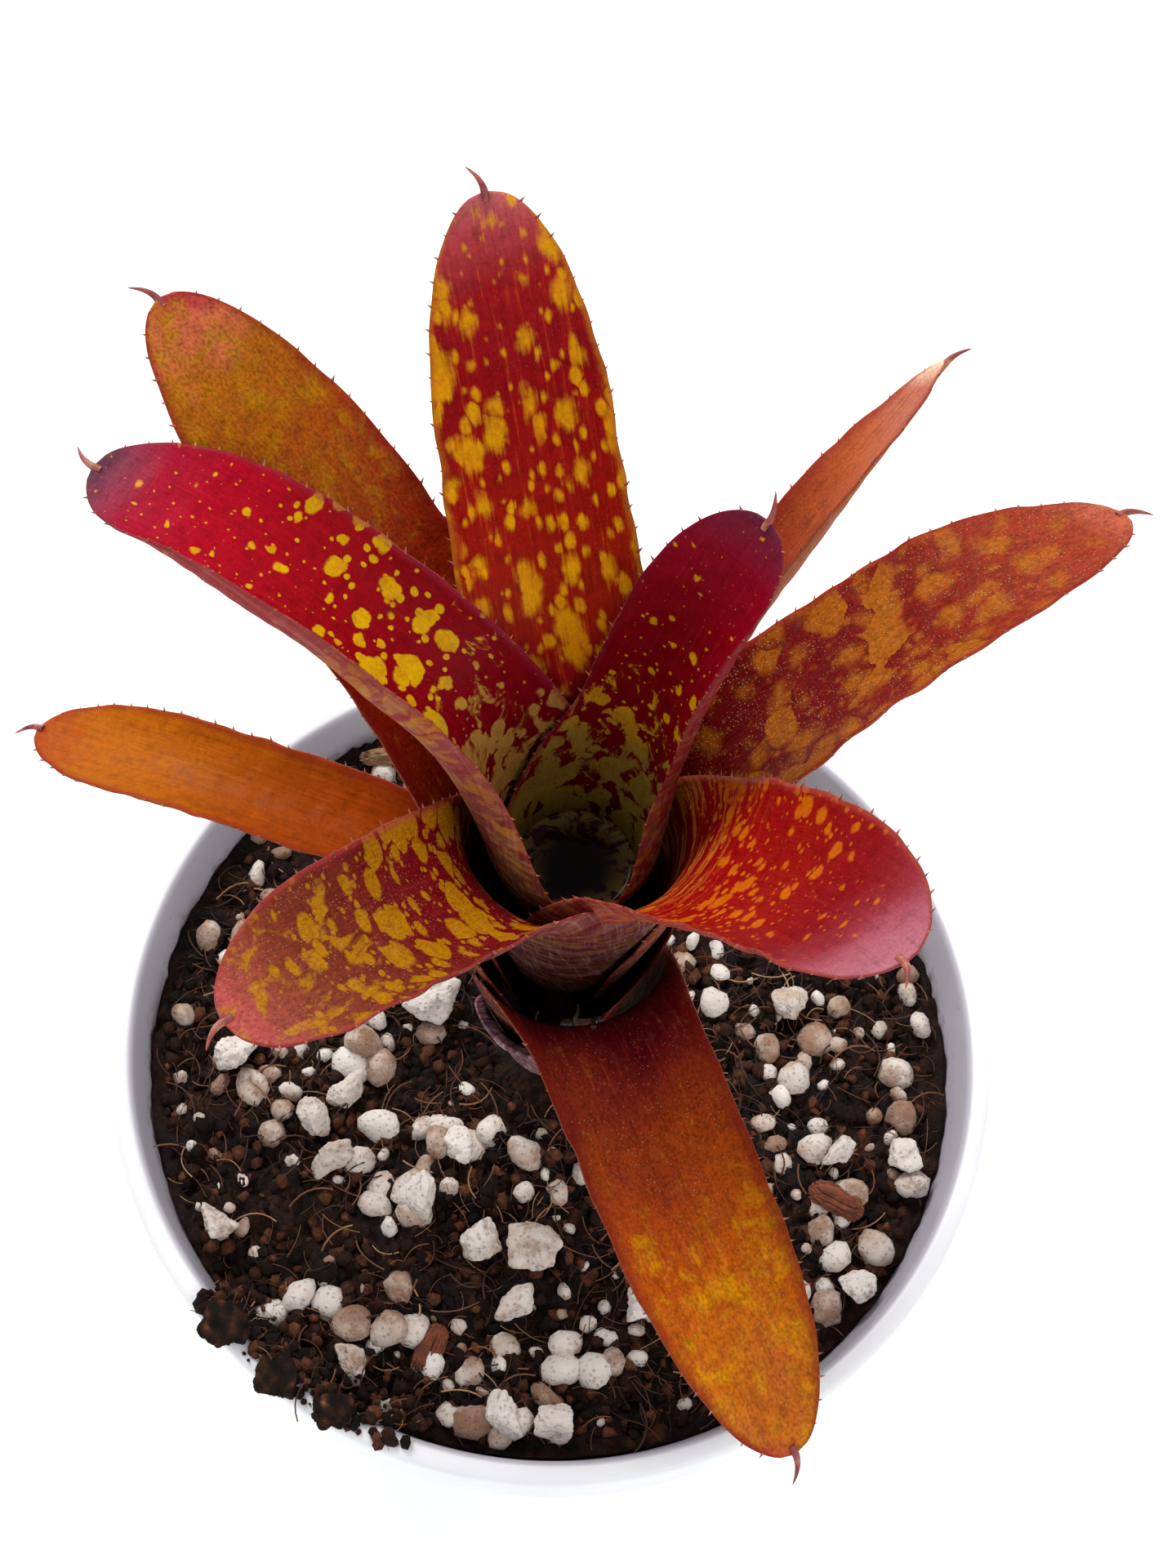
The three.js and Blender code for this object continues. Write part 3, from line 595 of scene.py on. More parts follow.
def water_material():
    """Water painted near black for the shade and dark reflection of the deep cup, with the sheaths showing
    through at the edge.
    """
    paint = Paint("tank_water_dark")
    place = paint.place()
    x, y, _ = place.parts()
    # Painted shade: the near-black colour stands for the dark inside of the cup seen in the water.
    cup_shade_wave = paint.noise(place, 400.0, 3.0)
    body = paint.ramp(cup_shade_wave, [(0.35, srgb(8, 3, 3)), (0.7, srgb(20, 8, 6))])
    # The blotched sheaths show through the shallow water at the edge.
    shallow = paint.step((x * x + y * y) ** 0.5, 2.4 * MM, 6.0 * MM)
    blotches = paint.noise(place, 520.0, 4.0, 0.6, 0.8)
    sheaths = paint.ramp(blotches, [(0.44, srgb(42, 10, 12)), (0.52, srgb(98, 78, 36))])
    body = paint.mix(shallow, body, sheaths)
    return paint.finish(Base_Color=body, Roughness=0.03, Specular_IOR_Level=0.03)


# ---------------------------------------------------------------- meshes
def make_piece(name, points, faces, material, attributes=None, smooth=True):
    """A mesh piece from points in millimetres."""
    mesh = bpy.data.meshes.new(name)
    mesh.from_pydata((np.asarray(points, float) * MM).tolist(), [], faces)
    mesh.polygons.foreach_set("use_smooth", [smooth] * len(mesh.polygons))
    for label, values in (attributes or {}).items():
        values = np.asarray(values, np.float32)
        if values.ndim == 1:
            mesh.attributes.new(label, "FLOAT", "POINT").data.foreach_set("value", values)
        else:
            mesh.attributes.new(label, "FLOAT_VECTOR", "POINT").data.foreach_set("vector", values.ravel())
    mesh.materials.append(material)
    mesh.update()
    piece = bpy.data.objects.new(name, mesh)
    bpy.context.scene.collection.objects.link(piece)
    return piece


def stand_for(piece, slot, *nodes):
    """Fixes a piece to the part and hides the plain solids it stands for; its slot is not used."""
    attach(piece, "root")
    if nodes:
        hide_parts(*nodes)
    return piece


class Waves:
    """A smooth random height over two or three coordinates, made of sine waves."""

    def __init__(self, seed, wavelength, count=14, dims=2):
        rng = np.random.default_rng(seed)
        ways = rng.normal(size=(count, dims))
        ways /= np.linalg.norm(ways, axis=1)[:, None]
        self.ways = ways * (2 * math.pi / wavelength) * rng.uniform(0.6, 1.6, count)[:, None]
        self.phases = rng.uniform(0, 2 * math.pi, count)
        self.level = math.sqrt(2 / count)

    def __call__(self, *coordinates):
        total = 0.0
        for way, phase in zip(self.ways, self.phases):
            total = total + np.sin(sum(w * c for w, c in zip(way, coordinates)) + phase)
        return total * self.level


def grid_faces(rows, columns, start=0, flipped=False, closed=False):
    """Quads between rows of points. closed joins the last column to the first."""
    faces = []
    for i in range(rows - 1):
        for j in range(columns if closed else columns - 1):
            k = (j + 1) % columns
            quad = [start + i * columns + j, start + (i + 1) * columns + j,
                    start + (i + 1) * columns + k, start + i * columns + k]
            faces.append(quad[::-1] if flipped else quad)
    return faces


def revolve(name, profile, material, segments=192, attributes=None):
    """A closed body of revolution from a profile that starts and ends on the Z axis."""
    angles = np.arange(segments) * 2 * math.pi / segments
    ring = profile[1:-1]
    points = [[0, 0, profile[0][1]]]
    for r, z in ring:
        points += [[r * math.cos(a), r * math.sin(a), z] for a in angles]
    points.append([0, 0, profile[-1][1]])
    faces = grid_faces(len(ring), segments, 1, True, True)
    last = len(points) - 1
    for j in range(segments):
        k = (j + 1) % segments
        faces.append([0, 1 + k, 1 + j])
        top = 1 + (len(ring) - 1) * segments
        faces.append([last, top + j, top + k])
    return make_piece(name, points, faces, material, attributes)


def rounded(profile, radius, steps=5):
    """Rounds the inner corners of a profile with arcs of about the given radius."""
    out = [profile[0]]
    for before, corner, after in zip(profile, profile[1:], profile[2:]):
        before, corner, after = (np.array(p, float) for p in (before, corner, after))
        back, ahead = before - corner, after - corner
        reach = min(radius, np.linalg.norm(back) * 0.45, np.linalg.norm(ahead) * 0.45)
        start = corner + back / np.linalg.norm(back) * reach
        end = corner + ahead / np.linalg.norm(ahead) * reach
        for i in range(steps + 1):
            t = i / steps
            out.append(tuple((1 - t) ** 2 * start + 2 * t * (1 - t) * corner + t * t * end))
    return out + [profile[-1]]


# ---------------------------------------------------------------- leaves
SHEATH_ROW_SPREAD = 1.3
STEPS_PER_ROW = 6
MARGIN_THICKNESS = 0.22
MARGIN_THINNING = 2.5
# Relief of the skin: wavelengths and heights in millimetres.
RAGGED_EDGE = dict(wavelength=7.0, share=0.006)
SWELL = dict(wavelength=17.0, height=0.16, along=0.7)
CRIMP = dict(wavelength=3.2, height=0.03, across=0.6)
EDGE_WAVE = dict(wavelength=8.0, height=0.08, apart=4)
RIBS = dict(spacing=0.95, height=0.03)


def ease(x):
    """0 to 1 with a soft start and end."""
    t = np.clip(x, 0, 1)
    return t * t * (3 - 2 * t)


def funnel_radius(height):
    """Radius that every sheath follows, from its own node upwards."""
    return SHEATH_RADIUS - FOOT_INSET * np.exp(-height / FOOT_HEIGHT) + SHEATH_SLOPE * height


def unit(vectors):
    """Vectors brought to length 1."""
    return vectors / np.linalg.norm(vectors, axis=-1, keepdims=True)


def leaf_midrib(leaf, foot, sheath_rows, blade_rows):
    """Stations from the foot to the tip: points, directions and the shape of each section."""
    azimuth = math.radians(leaf["azimuth"])
    steep = math.atan2(1, SHEATH_SLOPE)
    rise, blade = leaf["rise"], leaf["blade"]
    heights = rise * np.linspace(0, 1, sheath_rows + 1) ** SHEATH_ROW_SPREAD
    r = funnel_radius(heights)
    sheath = np.stack([r * math.cos(azimuth), r * math.sin(azimuth), foot + heights], 1)

    def slope(u):
        bent = steep + (math.radians(leaf["lean"]) - steep) * ease(u / BEND_SHARE)
        return bent - math.radians(leaf["arch"]) * u * u

    def heading(u):
        return azimuth + math.radians(leaf["sweep"]) * u

    def direction(u, s):
        h = heading(u)
        return np.stack([np.cos(s) * np.cos(h), np.cos(s) * np.sin(h), np.sin(s)], 1)

    count = blade_rows * STEPS_PER_ROW
    middles = (np.arange(count) + 0.5) / count
    steps = direction(middles, slope(middles)) * blade / count
    blade_points = sheath[-1] + np.cumsum(steps, 0)[STEPS_PER_ROW - 1::STEPS_PER_ROW]
    u = np.concatenate([(heights - rise) / blade, np.arange(1, blade_rows + 1) / blade_rows])
    points = np.concatenate([sheath, blade_points])
    free_u = np.clip(u, 0, 1)
    s = np.where(u < 0, steep, slope(free_u))
    along = direction(free_u, s)
    h = heading(free_u)
    side = np.stack([-np.sin(h), np.cos(h), 0 * h], 1)
    inward = np.stack([-np.cos(h), -np.sin(h), 0 * h], 1)
    k = ease(u / BEND_SHARE)[:, None]
    inward = unit(inward * (1 - k) + np.cross(along, side) * k)
    roll = (math.radians(leaf["roll"]) * ease(u / ROLL_SHARE))[:, None]
    rolled_side = side * np.cos(roll) + inward * np.sin(roll)
    rolled_in = inward * np.cos(roll) - side * np.sin(roll)
    free = ease((u + FREE_LEAD) / FREE_SPAN)
    height = np.minimum(points[:, 2] - foot, rise)
    half_blade = leaf["width"] / 2 * (1 + leaf["taper"] * (0.5 - u))
    funnel = funnel_radius(height)
    half = funnel * math.radians(leaf["wrap"]) * (1 - free) + half_blade * free
    channel = math.radians(leaf["channel"]) * (1 - FLATTENING * ease((u - FLAT_FROM) / (1 - FLAT_FROM)))
    opened = ease((u - OPEN_FROM) / BEND_SHARE)
    radius = funnel * (1 - opened) + half_blade / channel * opened
    tip = np.clip((u - 1 + TIP_SHARE) / TIP_SHARE, 0, 1)
    half = half * np.sqrt(np.maximum(1 - tip ** TIP_ROUNDNESS, TIP_LEAST))
    thick = SHEATH_THICKNESS + (BLADE_THICKNESS - SHEATH_THICKNESS) * free
    thick = thick + (TIP_THICKNESS - thick) * ease((u - FLAT_FROM) / (1 - FLAT_FROM))
    return dict(u=u, point=points, along=along, side=rolled_side, inward=rolled_in, radius=radius,
                half=half, thick=thick, skew=math.radians(leaf["skew"]) * (1 - free))


def leaf_surface(leaf, line, seed, columns, wobble, rolled=(1, 0), wrapped=(1, 0)):
    """Middle surface of a leaf and its normals, each [row, column, xyz], with places on it.

    rolled and wrapped each give a side, 1 or -1, and the degrees that its margin turns inward
    or that its sheath reaches further round the stem.
    """
    across = np.linspace(-1, 1, columns + 1)[None, :]
    u = line["u"][:, None]
    length = u * leaf["blade"]
    free = ease((u - 0.12) / 0.3)
    ragged = 1 + RAGGED_EDGE["share"] * Waves(seed, RAGGED_EDGE["wavelength"], dims=1)(length) * free
    half = line["half"][:, None] * ragged
    longer, extra = wrapped
    reached = np.clip(across * longer, 0, 1) * (1 - ease((u + 0.1) / 0.4)) * math.radians(extra)
    half = half + reached * line["radius"][:, None]
    turned, degrees = rolled
    reach = ease((across * turned - 0.4) / 0.6) * ease((u - 0.02) / 0.2) * ease((1.0 - u) / 0.25)
    angle = across * half / line["radius"][:, None] + line["skew"][:, None]
    angle = angle + turned * math.radians(degrees) * reach
    side, inward = line["side"][:, None], line["inward"][:, None]
    between = (angle[:, 1:] + angle[:, :-1]) / 2
    step = np.diff(across * half, axis=1)
    start = np.zeros_like(angle[:, :1])
    out = np.concatenate([start, np.cumsum(np.cos(between) * step, 1)], 1)
    up = np.concatenate([start, np.cumsum(np.sin(between) * step, 1)], 1)
    middle = columns // 2
    radius, skew = line["radius"][:, None], line["skew"][:, None]
    out = out - out[:, middle:middle + 1] + radius * np.sin(skew)
    up = up - up[:, middle:middle + 1] + radius * (1 - np.cos(skew))
    points = line["point"][:, None] + side * out[..., None] + inward * up[..., None]
    normals = inward * np.cos(angle)[..., None] - side * np.sin(angle)[..., None]
    sideways = across * half
    swell = Waves(seed + 1, SWELL["wavelength"])(sideways, length * SWELL["along"]) * SWELL["height"]
    crimp = Waves(seed + 2, CRIMP["wavelength"])(sideways * CRIMP["across"], length) * CRIMP["height"]
    margin_place = length + EDGE_WAVE["apart"] * np.sign(across)
    edge_wave = Waves(seed + 3, EDGE_WAVE["wavelength"], dims=1)(margin_place)
    edge_wave = edge_wave * EDGE_WAVE["height"] * np.abs(across) ** 4
    ribs = RIBS["height"] * np.cos(2 * math.pi * sideways / RIBS["spacing"]) * (1 - across ** 4)
    lift = (swell + crimp + edge_wave) * free * wobble + ribs * np.clip(free + 0.3, 0, 1)
    points = points + normals * lift[..., None]
    return points, normals, sideways, length + 0 * across, across + 0 * u, u + 0 * across


def build_leaf(name, leaf, foot, material, seed, columns=36, sheath_rows=26, blade_rows=150, wobble=1.0,
               rolled=(1, 0), wrapped=(1, 0)):
    line = leaf_midrib(leaf, foot, sheath_rows, blade_rows)
    middle, normals, sideways, length, across, share = leaf_surface(
        leaf, line, seed, columns, wobble, rolled, wrapped)
    thick = line["thick"][:, None]
    margin = np.minimum(MARGIN_THICKNESS, thick)
    thickness = thick + (margin - thick) * np.abs(across) ** MARGIN_THINNING
    rows, cols = across.shape
    upper = middle + normals * (thickness / 2)[..., None]
    lower = middle - normals * (thickness / 2)[..., None]
    points = np.concatenate([upper.reshape(-1, 3), lower.reshape(-1, 3)])
    count = rows * cols
    faces = grid_faces(rows, cols) + grid_faces(rows, cols, count, True)
    for i in range(rows - 1):
        a, b = i * cols, (i + 1) * cols
        faces.append([a, count + a, count + b, b])
        a, b = a + cols - 1, b + cols - 1
        faces.append([a, b, count + b, count + a])
    for j in range(cols - 1):
        faces.append([j, j + 1, count + j + 1, count + j])
        a = (rows - 1) * cols + j
        faces.append([a, count + a, count + a + 1, a + 1])
    both = np.concatenate
    back = both([np.zeros(count), np.ones(count)])
    place = np.stack([both([sideways.ravel()] * 2), both([length.ravel()] * 2), back], 1)
    shares = np.stack([both([across.ravel()] * 2), both([share.ravel()] * 2), back], 1)
    piece = make_piece(name, points, faces, material, {"leaf_place": place, "leaf_share": shares})
    edges = [(middle[:, 0], -1), (middle[:, -1], 1)]
    return piece, line, edges


# Marginal spines: the share of the blade that has them, their lean and their sizes.
SPINES = dict(reach=(0.04, 0.975), forward=0.55, spacing=2.1, length=0.66, thickness=0.17, sides=6,
              rings=4, point=0.01, hook=0.35, sunk=0.12, shortest=0.55, longest=1.15)


def margin_lines(line, edges):
    """Points along a leaf's free margins and the way a spine leans at each."""
    first, last = SPINES["reach"]
    keep = (line["u"] > first) & (line["u"] < last)
    out = []
    for points, sign in edges:
        angle = sign * line["half"] / line["radius"]
        outward = line["side"] * np.cos(angle)[:, None] + line["inward"] * np.sin(angle)[:, None]
        lean = unit(outward * sign + line["along"] * SPINES["forward"])
        out.append((points[keep], lean[keep]))
    return out


def geometry_tree(name, sizes):
    """A geometry node tree with named inputs, its graph and those inputs as values."""
    tree = bpy.data.node_groups.new(name, "GeometryNodeTree")
    tree.interface.new_socket(name="Geometry", in_out="INPUT", socket_type="NodeSocketGeometry")
    tree.interface.new_socket(name="Geometry", in_out="OUTPUT", socket_type="NodeSocketGeometry")
    for label, value in sizes.items():
        kind = "NodeSocketInt" if isinstance(value, int) else "NodeSocketFloat"
        tree.interface.new_socket(name=label, in_out="INPUT", socket_type=kind)
    graph = Graph(tree)
    source = tree.nodes.new("NodeGroupInput")
    inputs = {socket.name: Value(graph, socket) for socket in source.outputs if socket.name}
    return tree, graph, inputs


def close_tree(graph, geometry, material):
    """Ends a tree: instances made real, smooth shading, one material."""
    real = graph.node("GeometryNodeRealizeInstances", {}, {0: geometry})
    smooth = graph.node("GeometryNodeSetShadeSmooth", {}, {0: real})
    done = graph.node("GeometryNodeSetMaterial", {}, {"Geometry": smooth, "Material": material})
    sink = graph.tree.nodes.new("NodeGroupOutput")
    graph.tree.links.new(done.socket, sink.inputs[0])


def run_tree(source, tree, sizes, name):
    """Runs a geometry tree on a source object and keeps the result as a plain mesh piece."""
    modifier = source.modifiers.new("build", "NODES")
    modifier.node_group = tree
    for item in tree.interface.items_tree:
        if item.item_type == "SOCKET" and item.in_out == "INPUT" and item.name in sizes:
            modifier[item.identifier] = sizes[item.name]
    bpy.context.view_layer.update()
    evaluated = source.evaluated_get(bpy.context.evaluated_depsgraph_get())
    mesh = bpy.data.meshes.new_from_object(evaluated)
    source.modifiers.remove(modifier)
    mesh.name = name
    piece = bpy.data.objects.new(name, mesh)
    bpy.context.scene.collection.objects.link(piece)
    return piece


def make_source(name, points, edges, faces):
    """A bare mesh object for a geometry tree to work on; drop_source takes it away again."""
    mesh = bpy.data.meshes.new(name)
    mesh.from_pydata((np.array(points) * MM).tolist(), edges, faces)
    source = bpy.data.objects.new(name, mesh)
    bpy.context.scene.collection.objects.link(source)
    return source


def drop_source(source):
    """Removes a helper object and its mesh."""
    mesh = source.data
    bpy.data.objects.remove(source)
    bpy.data.meshes.remove(mesh)


def build_spines(lines, material):
    """Small forward-leaning thorns at even steps along the leaf margins."""
    points, leans, edges = [], [], []
    for stretch, lean in lines:
        start = len(points)
        points += stretch.tolist()
        leans += lean.tolist()
        edges += [(start + i, start + i + 1) for i in range(len(stretch) - 1)]
    source = make_source("margin_lines", points, edges, [])
    lean_way = source.data.attributes.new("lean_way", "FLOAT_VECTOR", "POINT")
    lean_way.data.foreach_set("vector", np.array(leans, np.float32).ravel())

    sizes = {"Spacing": SPINES["spacing"] * MM, "Length": SPINES["length"] * MM,
             "Thickness": SPINES["thickness"] * MM, "Seed": 4}
    tree, graph, given = geometry_tree("margin_spines", sizes)
    curve = graph.node("GeometryNodeMeshToCurve", {}, {0: given["Geometry"]})
    stations = graph.node("GeometryNodeResampleCurve", {"mode": "LENGTH"},
                          {"Curve": curve, "Length": given["Spacing"]})
    thorn = graph.node("GeometryNodeMeshCone", {}, {
        "Vertices": SPINES["sides"], "Side Segments": SPINES["rings"], "Radius Top": SPINES["point"] * MM,
        "Radius Bottom": given["Thickness"], "Depth": given["Length"]}, "Mesh")
    place = graph.node("GeometryNodeInputPosition")
    _, _, z = place.parts()
    hooked = graph.vector(0.0, z * z * (SPINES["hook"] / MM), -SPINES["sunk"] * MM)
    thorn = graph.node("GeometryNodeSetPosition", {}, {"Geometry": thorn, "Offset": hooked})
    way = graph.node("GeometryNodeInputNamedAttribute", {"data_type": "FLOAT_VECTOR"},
                     {"Name": "lean_way"}, "Attribute")
    turn = graph.node("FunctionNodeAlignRotationToVector", {"axis": "Z"}, {"Vector": way})
    length = random_number(graph, SPINES["shortest"], SPINES["longest"], given["Seed"])
    instances = graph.node("GeometryNodeInstanceOnPoints", {}, {
        "Points": stations, "Instance": thorn, "Rotation": turn,
        "Scale": graph.vector(length, length, length)})
    close_tree(graph, instances, material)
    piece = run_tree(source, tree, sizes, "leaf_margin_spines")
    drop_source(source)
    return piece


def tapered_tube(route, radii, sides=10):
    """Points and faces of a closed tube along a route, with a radius at each point."""
    route = np.array(route, float)
    ways = unit(np.gradient(route, axis=0))
    guide = np.array([0.3, 0.2, 1.0])
    points, faces = [], []
    for point, way, radius in zip(route, ways, radii):
        first = unit(np.cross(way, guide))
        second = np.cross(way, first)
        for k in range(sides):
            angle = 2 * math.pi * k / sides
            points.append(point + radius * (first * math.cos(angle) + second * math.sin(angle)))
    faces = grid_faces(len(route), sides, 0, True, True)
    faces.append(list(range(sides)))
    top = (len(route) - 1) * sides
    faces.append([top + k for k in reversed(range(sides))])
    return points, faces


# Hooked spine at a leaf's tip: it starts inside the blade and curls down and to one side.
HOOK = dict(length=3.0, root=0.34, sunk=0.35, stations=14, curl=0.5, forward=0.8, down=0.25, aside=0.9,
            taper=0.7, point=0.03)


def build_hooks(lines, material):
    """The hooked spine at the tip of each leaf, all in one piece, curling to either side by turns."""
    length = HOOK["length"]
    points, faces = [], []
    for number, line in enumerate(lines):
        start, way, down = line["point"][-1], line["along"][-1], -line["inward"][-1]
        sideways = line["side"][-1] * (HOOK["aside"] if number % 2 else -HOOK["aside"])
        route, radii = [], []
        for t in np.linspace(-HOOK["sunk"], 1, HOOK["stations"]):
            curl = max(t, 0) ** 2 * length * HOOK["curl"]
            bent = (down * HOOK["down"] + sideways) * curl
            route.append(start + way * (t * length * HOOK["forward"]) + bent)
            radii.append(HOOK["root"] * (1 - max(t, 0)) ** HOOK["taper"] + HOOK["point"])
        tube_points, tube_faces = tapered_tube(route, radii)
        base = len(points)
        points += [list(p) for p in tube_points]
        faces += [[base + i for i in face] for face in tube_faces]
    return make_piece("leaf_tip_hooks", points, faces, material)


# ---------------------------------------------------------------- pot
def wall_radius(z):
    """Outside of the pot's wall below the rim band."""
    shoulder = RIM_INNER_RADIUS - RIM_STEP
    return POT_BASE_RADIUS + (shoulder - POT_BASE_RADIUS) * min(z / WALL_TOP, 1)


def inner_radius(z):
    """Inside of the pot at a height."""
    shoulder = wall_radius(WALL_TOP) - POT_WALL
    if z <= WALL_TOP:
        return wall_radius(z) - POT_WALL
    return shoulder + (RIM_INNER_RADIUS - shoulder) * (z - WALL_TOP) / RIM_BAND


POT_EDGE = 0.9
POT_ROUNDING = 1.2
BEAD = dict(below_band=5, swell=0.55, rise=0.5, height=1.5, end=2)
LIP = dict(height=3.4, step=2.8, inset=0.3, foot=0.7, foot_inset=0.5, inside=4)


def build_pot(material):
    """The shell with its rim band, the bead under the band and the drain holes."""
    bead = WALL_TOP - BEAD["below_band"]
    swollen = wall_radius(bead) + BEAD["swell"]
    outside = [(0, 0), (POT_BASE_RADIUS - POT_EDGE, 0), (POT_BASE_RADIUS, POT_EDGE)]
    outside += [(wall_radius(z), z) for z in (6, 20, 34, 48, 60)]
    outside += [(wall_radius(bead), bead), (swollen, bead + BEAD["rise"]), (swollen, bead + BEAD["height"]),
                (wall_radius(bead), bead + BEAD["end"])]
    outside += [(wall_radius(WALL_TOP), WALL_TOP), (BAND_RADIUS - LIP["foot_inset"], WALL_TOP + LIP["foot"]),
                (BAND_RADIUS - LIP["inset"], POT_HEIGHT - LIP["height"]),
                (BAND_RADIUS, POT_HEIGHT - LIP["step"]), (BAND_RADIUS, POT_HEIGHT)]
    inside = [(RIM_INNER_RADIUS, POT_HEIGHT)]
    inside += [(inner_radius(z), z) for z in (POT_HEIGHT - LIP["inside"], WALL_TOP, 60, 40, 20, POT_FLOOR)]
    inside.append((0, POT_FLOOR))
    pot = revolve("pot_shell", rounded(outside + inside, POT_ROUNDING), material)
    cutters = []
    for i in range(DRAIN_HOLES):
        angle = 2 * math.pi * i / DRAIN_HOLES
        x, y = DRAIN_CIRCLE_RADIUS * math.cos(angle), DRAIN_CIRCLE_RADIUS * math.sin(angle)
        corners, tall = 32, 3 * POT_FLOOR
        around = [2 * math.pi * k / corners for k in range(corners)]
        ring = [(x + DRAIN_HOLE_RADIUS * math.cos(a), y + DRAIN_HOLE_RADIUS * math.sin(a)) for a in around]
        points = [(px, py, -tall) for px, py in ring] + [(px, py, tall) for px, py in ring]
        faces = [[k, (k + 1) % corners, corners + (k + 1) % corners, corners + k] for k in range(corners)]
        faces += [list(reversed(range(corners))), list(range(corners, 2 * corners))]
        cutters.append(make_piece(f"drain_cut_{i}", points, faces, material))
    for cutter in cutters:
        cut = pot.modifiers.new("drain", "BOOLEAN")
        cut.operation, cut.object, cut.solver = "DIFFERENCE", cutter, "EXACT"
    bpy.context.view_layer.update()
    plain = bpy.data.meshes.new_from_object(pot.evaluated_get(bpy.context.evaluated_depsgraph_get()))
    pot.modifiers.clear()
    pot.data = plain
    for cutter in cutters:
        drop_source(cutter)
    return pot


# ---------------------------------------------------------------- soil and what lies in it
def soil_height(x, y):
    """Height of the plain soil surface."""
    long_wave = (np.sin(x / LONG_SWELL["along_x"] + LONG_SWELL["shift_x"])
                 * np.cos(y / LONG_SWELL["along_y"] + LONG_SWELL["shift_y"]))
    short_wave = np.sin(x / SHORT_SWELL["along_x"] - y / SHORT_SWELL["along_y"])
    return SOIL_LEVEL + SOIL_SWELL * (LONG_SWELL["share"] * long_wave + SHORT_SWELL["share"] * short_wave)


# Lumps of the mix as pairs of height and waves, from the widest to the finest.
SOIL_LUMPS = [(0.32, Waves(11, 9.0)), (0.28, Waves(12, 4.2)), (0.22, Waves(13, 2.0)), (0.14, Waves(14, 1.1))]
SOIL_SETTLED = 0.25
CALM_AT_STEM = dict(radius=3, width=4, least=0.2)
SOIL_WALL_GAP = 0.05
SOIL_STEM_GAP = 0.1
SOIL_SOCKET_DEPTH = 4
SOIL_SIDE_LEVELS = (WALL_TOP, 50.0, 20.0, POT_FLOOR + GAP)
# The way that spilt mix lies, from the soil over the rim, as radii and heights.
SPILL_PROFILE = [(42.0, SOIL_LEVEL + 0.6), (45.0, SOIL_LEVEL + 1.4), (47.4, POT_HEIGHT - 4.0),
                 (49.2, POT_HEIGHT - 0.6), (50.4, POT_HEIGHT + 0.2), (52.0, POT_HEIGHT + 0.1)]


def rough_soil_height(x, y):
    """Height of the visible surface: the plain swell with lumps, calmer next to the stem."""
    lumps = sum(height * waves(x, y) for height, waves in SOIL_LUMPS)
    clear_of_stem = (np.hypot(x, y) - CALM_AT_STEM["radius"]) / CALM_AT_STEM["width"]
    calm = np.clip(clear_of_stem, CALM_AT_STEM["least"], 1)
    return soil_height(x, y) + lumps * calm - SOIL_SETTLED


def soil_surface(inner, outer, rings, segments):
    """Points of the rough surface of the soil, ring by ring."""
    radii = np.linspace(inner, outer, rings)
    angles = np.arange(segments) * 2 * math.pi / segments
    r, a = np.meshgrid(radii, angles, indexing="ij")
    x, y = r * np.cos(a), r * np.sin(a)
    return np.stack([x, y, rough_soil_height(x, y)], -1).reshape(-1, 3)


def build_soil(material, rings=92, segments=320):
    """The whole bed of soil: its rough top, its side along the pot's wall and its foot."""
    edge = inner_radius(SOIL_LEVEL - SOIL_SWELL) - SOIL_WALL_GAP
    points = soil_surface(STEM_RADIUS + SOIL_STEM_GAP, edge, rings, segments).tolist()
    angles = np.arange(segments) * 2 * math.pi / segments
    for z in SOIL_SIDE_LEVELS:
        reach = inner_radius(z) - SOIL_WALL_GAP
        points += [[reach * math.cos(t), reach * math.sin(t), z] for t in angles]
    rows = rings + len(SOIL_SIDE_LEVELS)
    faces = grid_faces(rows, segments, 0, False, True)
    points.append([0, 0, SOIL_SIDE_LEVELS[-1]])
    points.append([0, 0, SOIL_LEVEL - SOIL_SOCKET_DEPTH])
    foot, crown = len(points) - 2, len(points) - 1
    last = (rows - 1) * segments
    for j in range(segments):
        k = (j + 1) % segments
        faces.append([foot, last + k, last + j])
        faces.append([crown, j, k])
    return make_piece("soil_bed", points, faces, material)


def soil_patch(name, inner, outer, rings=26, segments=120):
    """An open ring of the soil's surface for scattering things on."""
    points = soil_surface(inner, outer, rings, segments)
    return make_source(name, points, [], grid_faces(rings, segments, 0, False, True))


def rim_patch(start, end):
    """A ribbon over part of the rim and the soil beside it, for what has spilled there."""
    angles = np.radians(np.linspace(start, end, 60))
    points = [(r * math.cos(a), r * math.sin(a), z) for r, z in SPILL_PROFILE for a in angles]
    return make_source("rim_ribbon", points, [], grid_faces(len(SPILL_PROFILE), len(angles)))


FULL_TURN = 6.28
FIBRE_TILT = 0.35


def clustering(graph, given):
    """Share of the points kept: fewer where the mix shows bare peat."""
    place = graph.node("GeometryNodeInputPosition")
    wave = graph.noise(place, given["Patches"], 2.0)
    return 1 - graph.step(wave, 0.42, 0.6) * given["Bareness"]


def scatter_points(graph, given):
    """Points on the source, kept apart and clustered."""
    return graph.node("GeometryNodeDistributePointsOnFaces", {"distribute_method": "POISSON"}, {
        "Mesh": given["Geometry"], "Distance Min": given["Apart"], "Density Max": given["Density"],
        "Density Factor": clustering(graph, given), "Seed": given["Seed"]}, "Points")


def random_number(graph, low, high, seed):
    """One random number for each point or copy."""
    return graph.node("FunctionNodeRandomValue", {"data_type": "FLOAT"}, {2: low, 3: high, "Seed": seed}, 1)


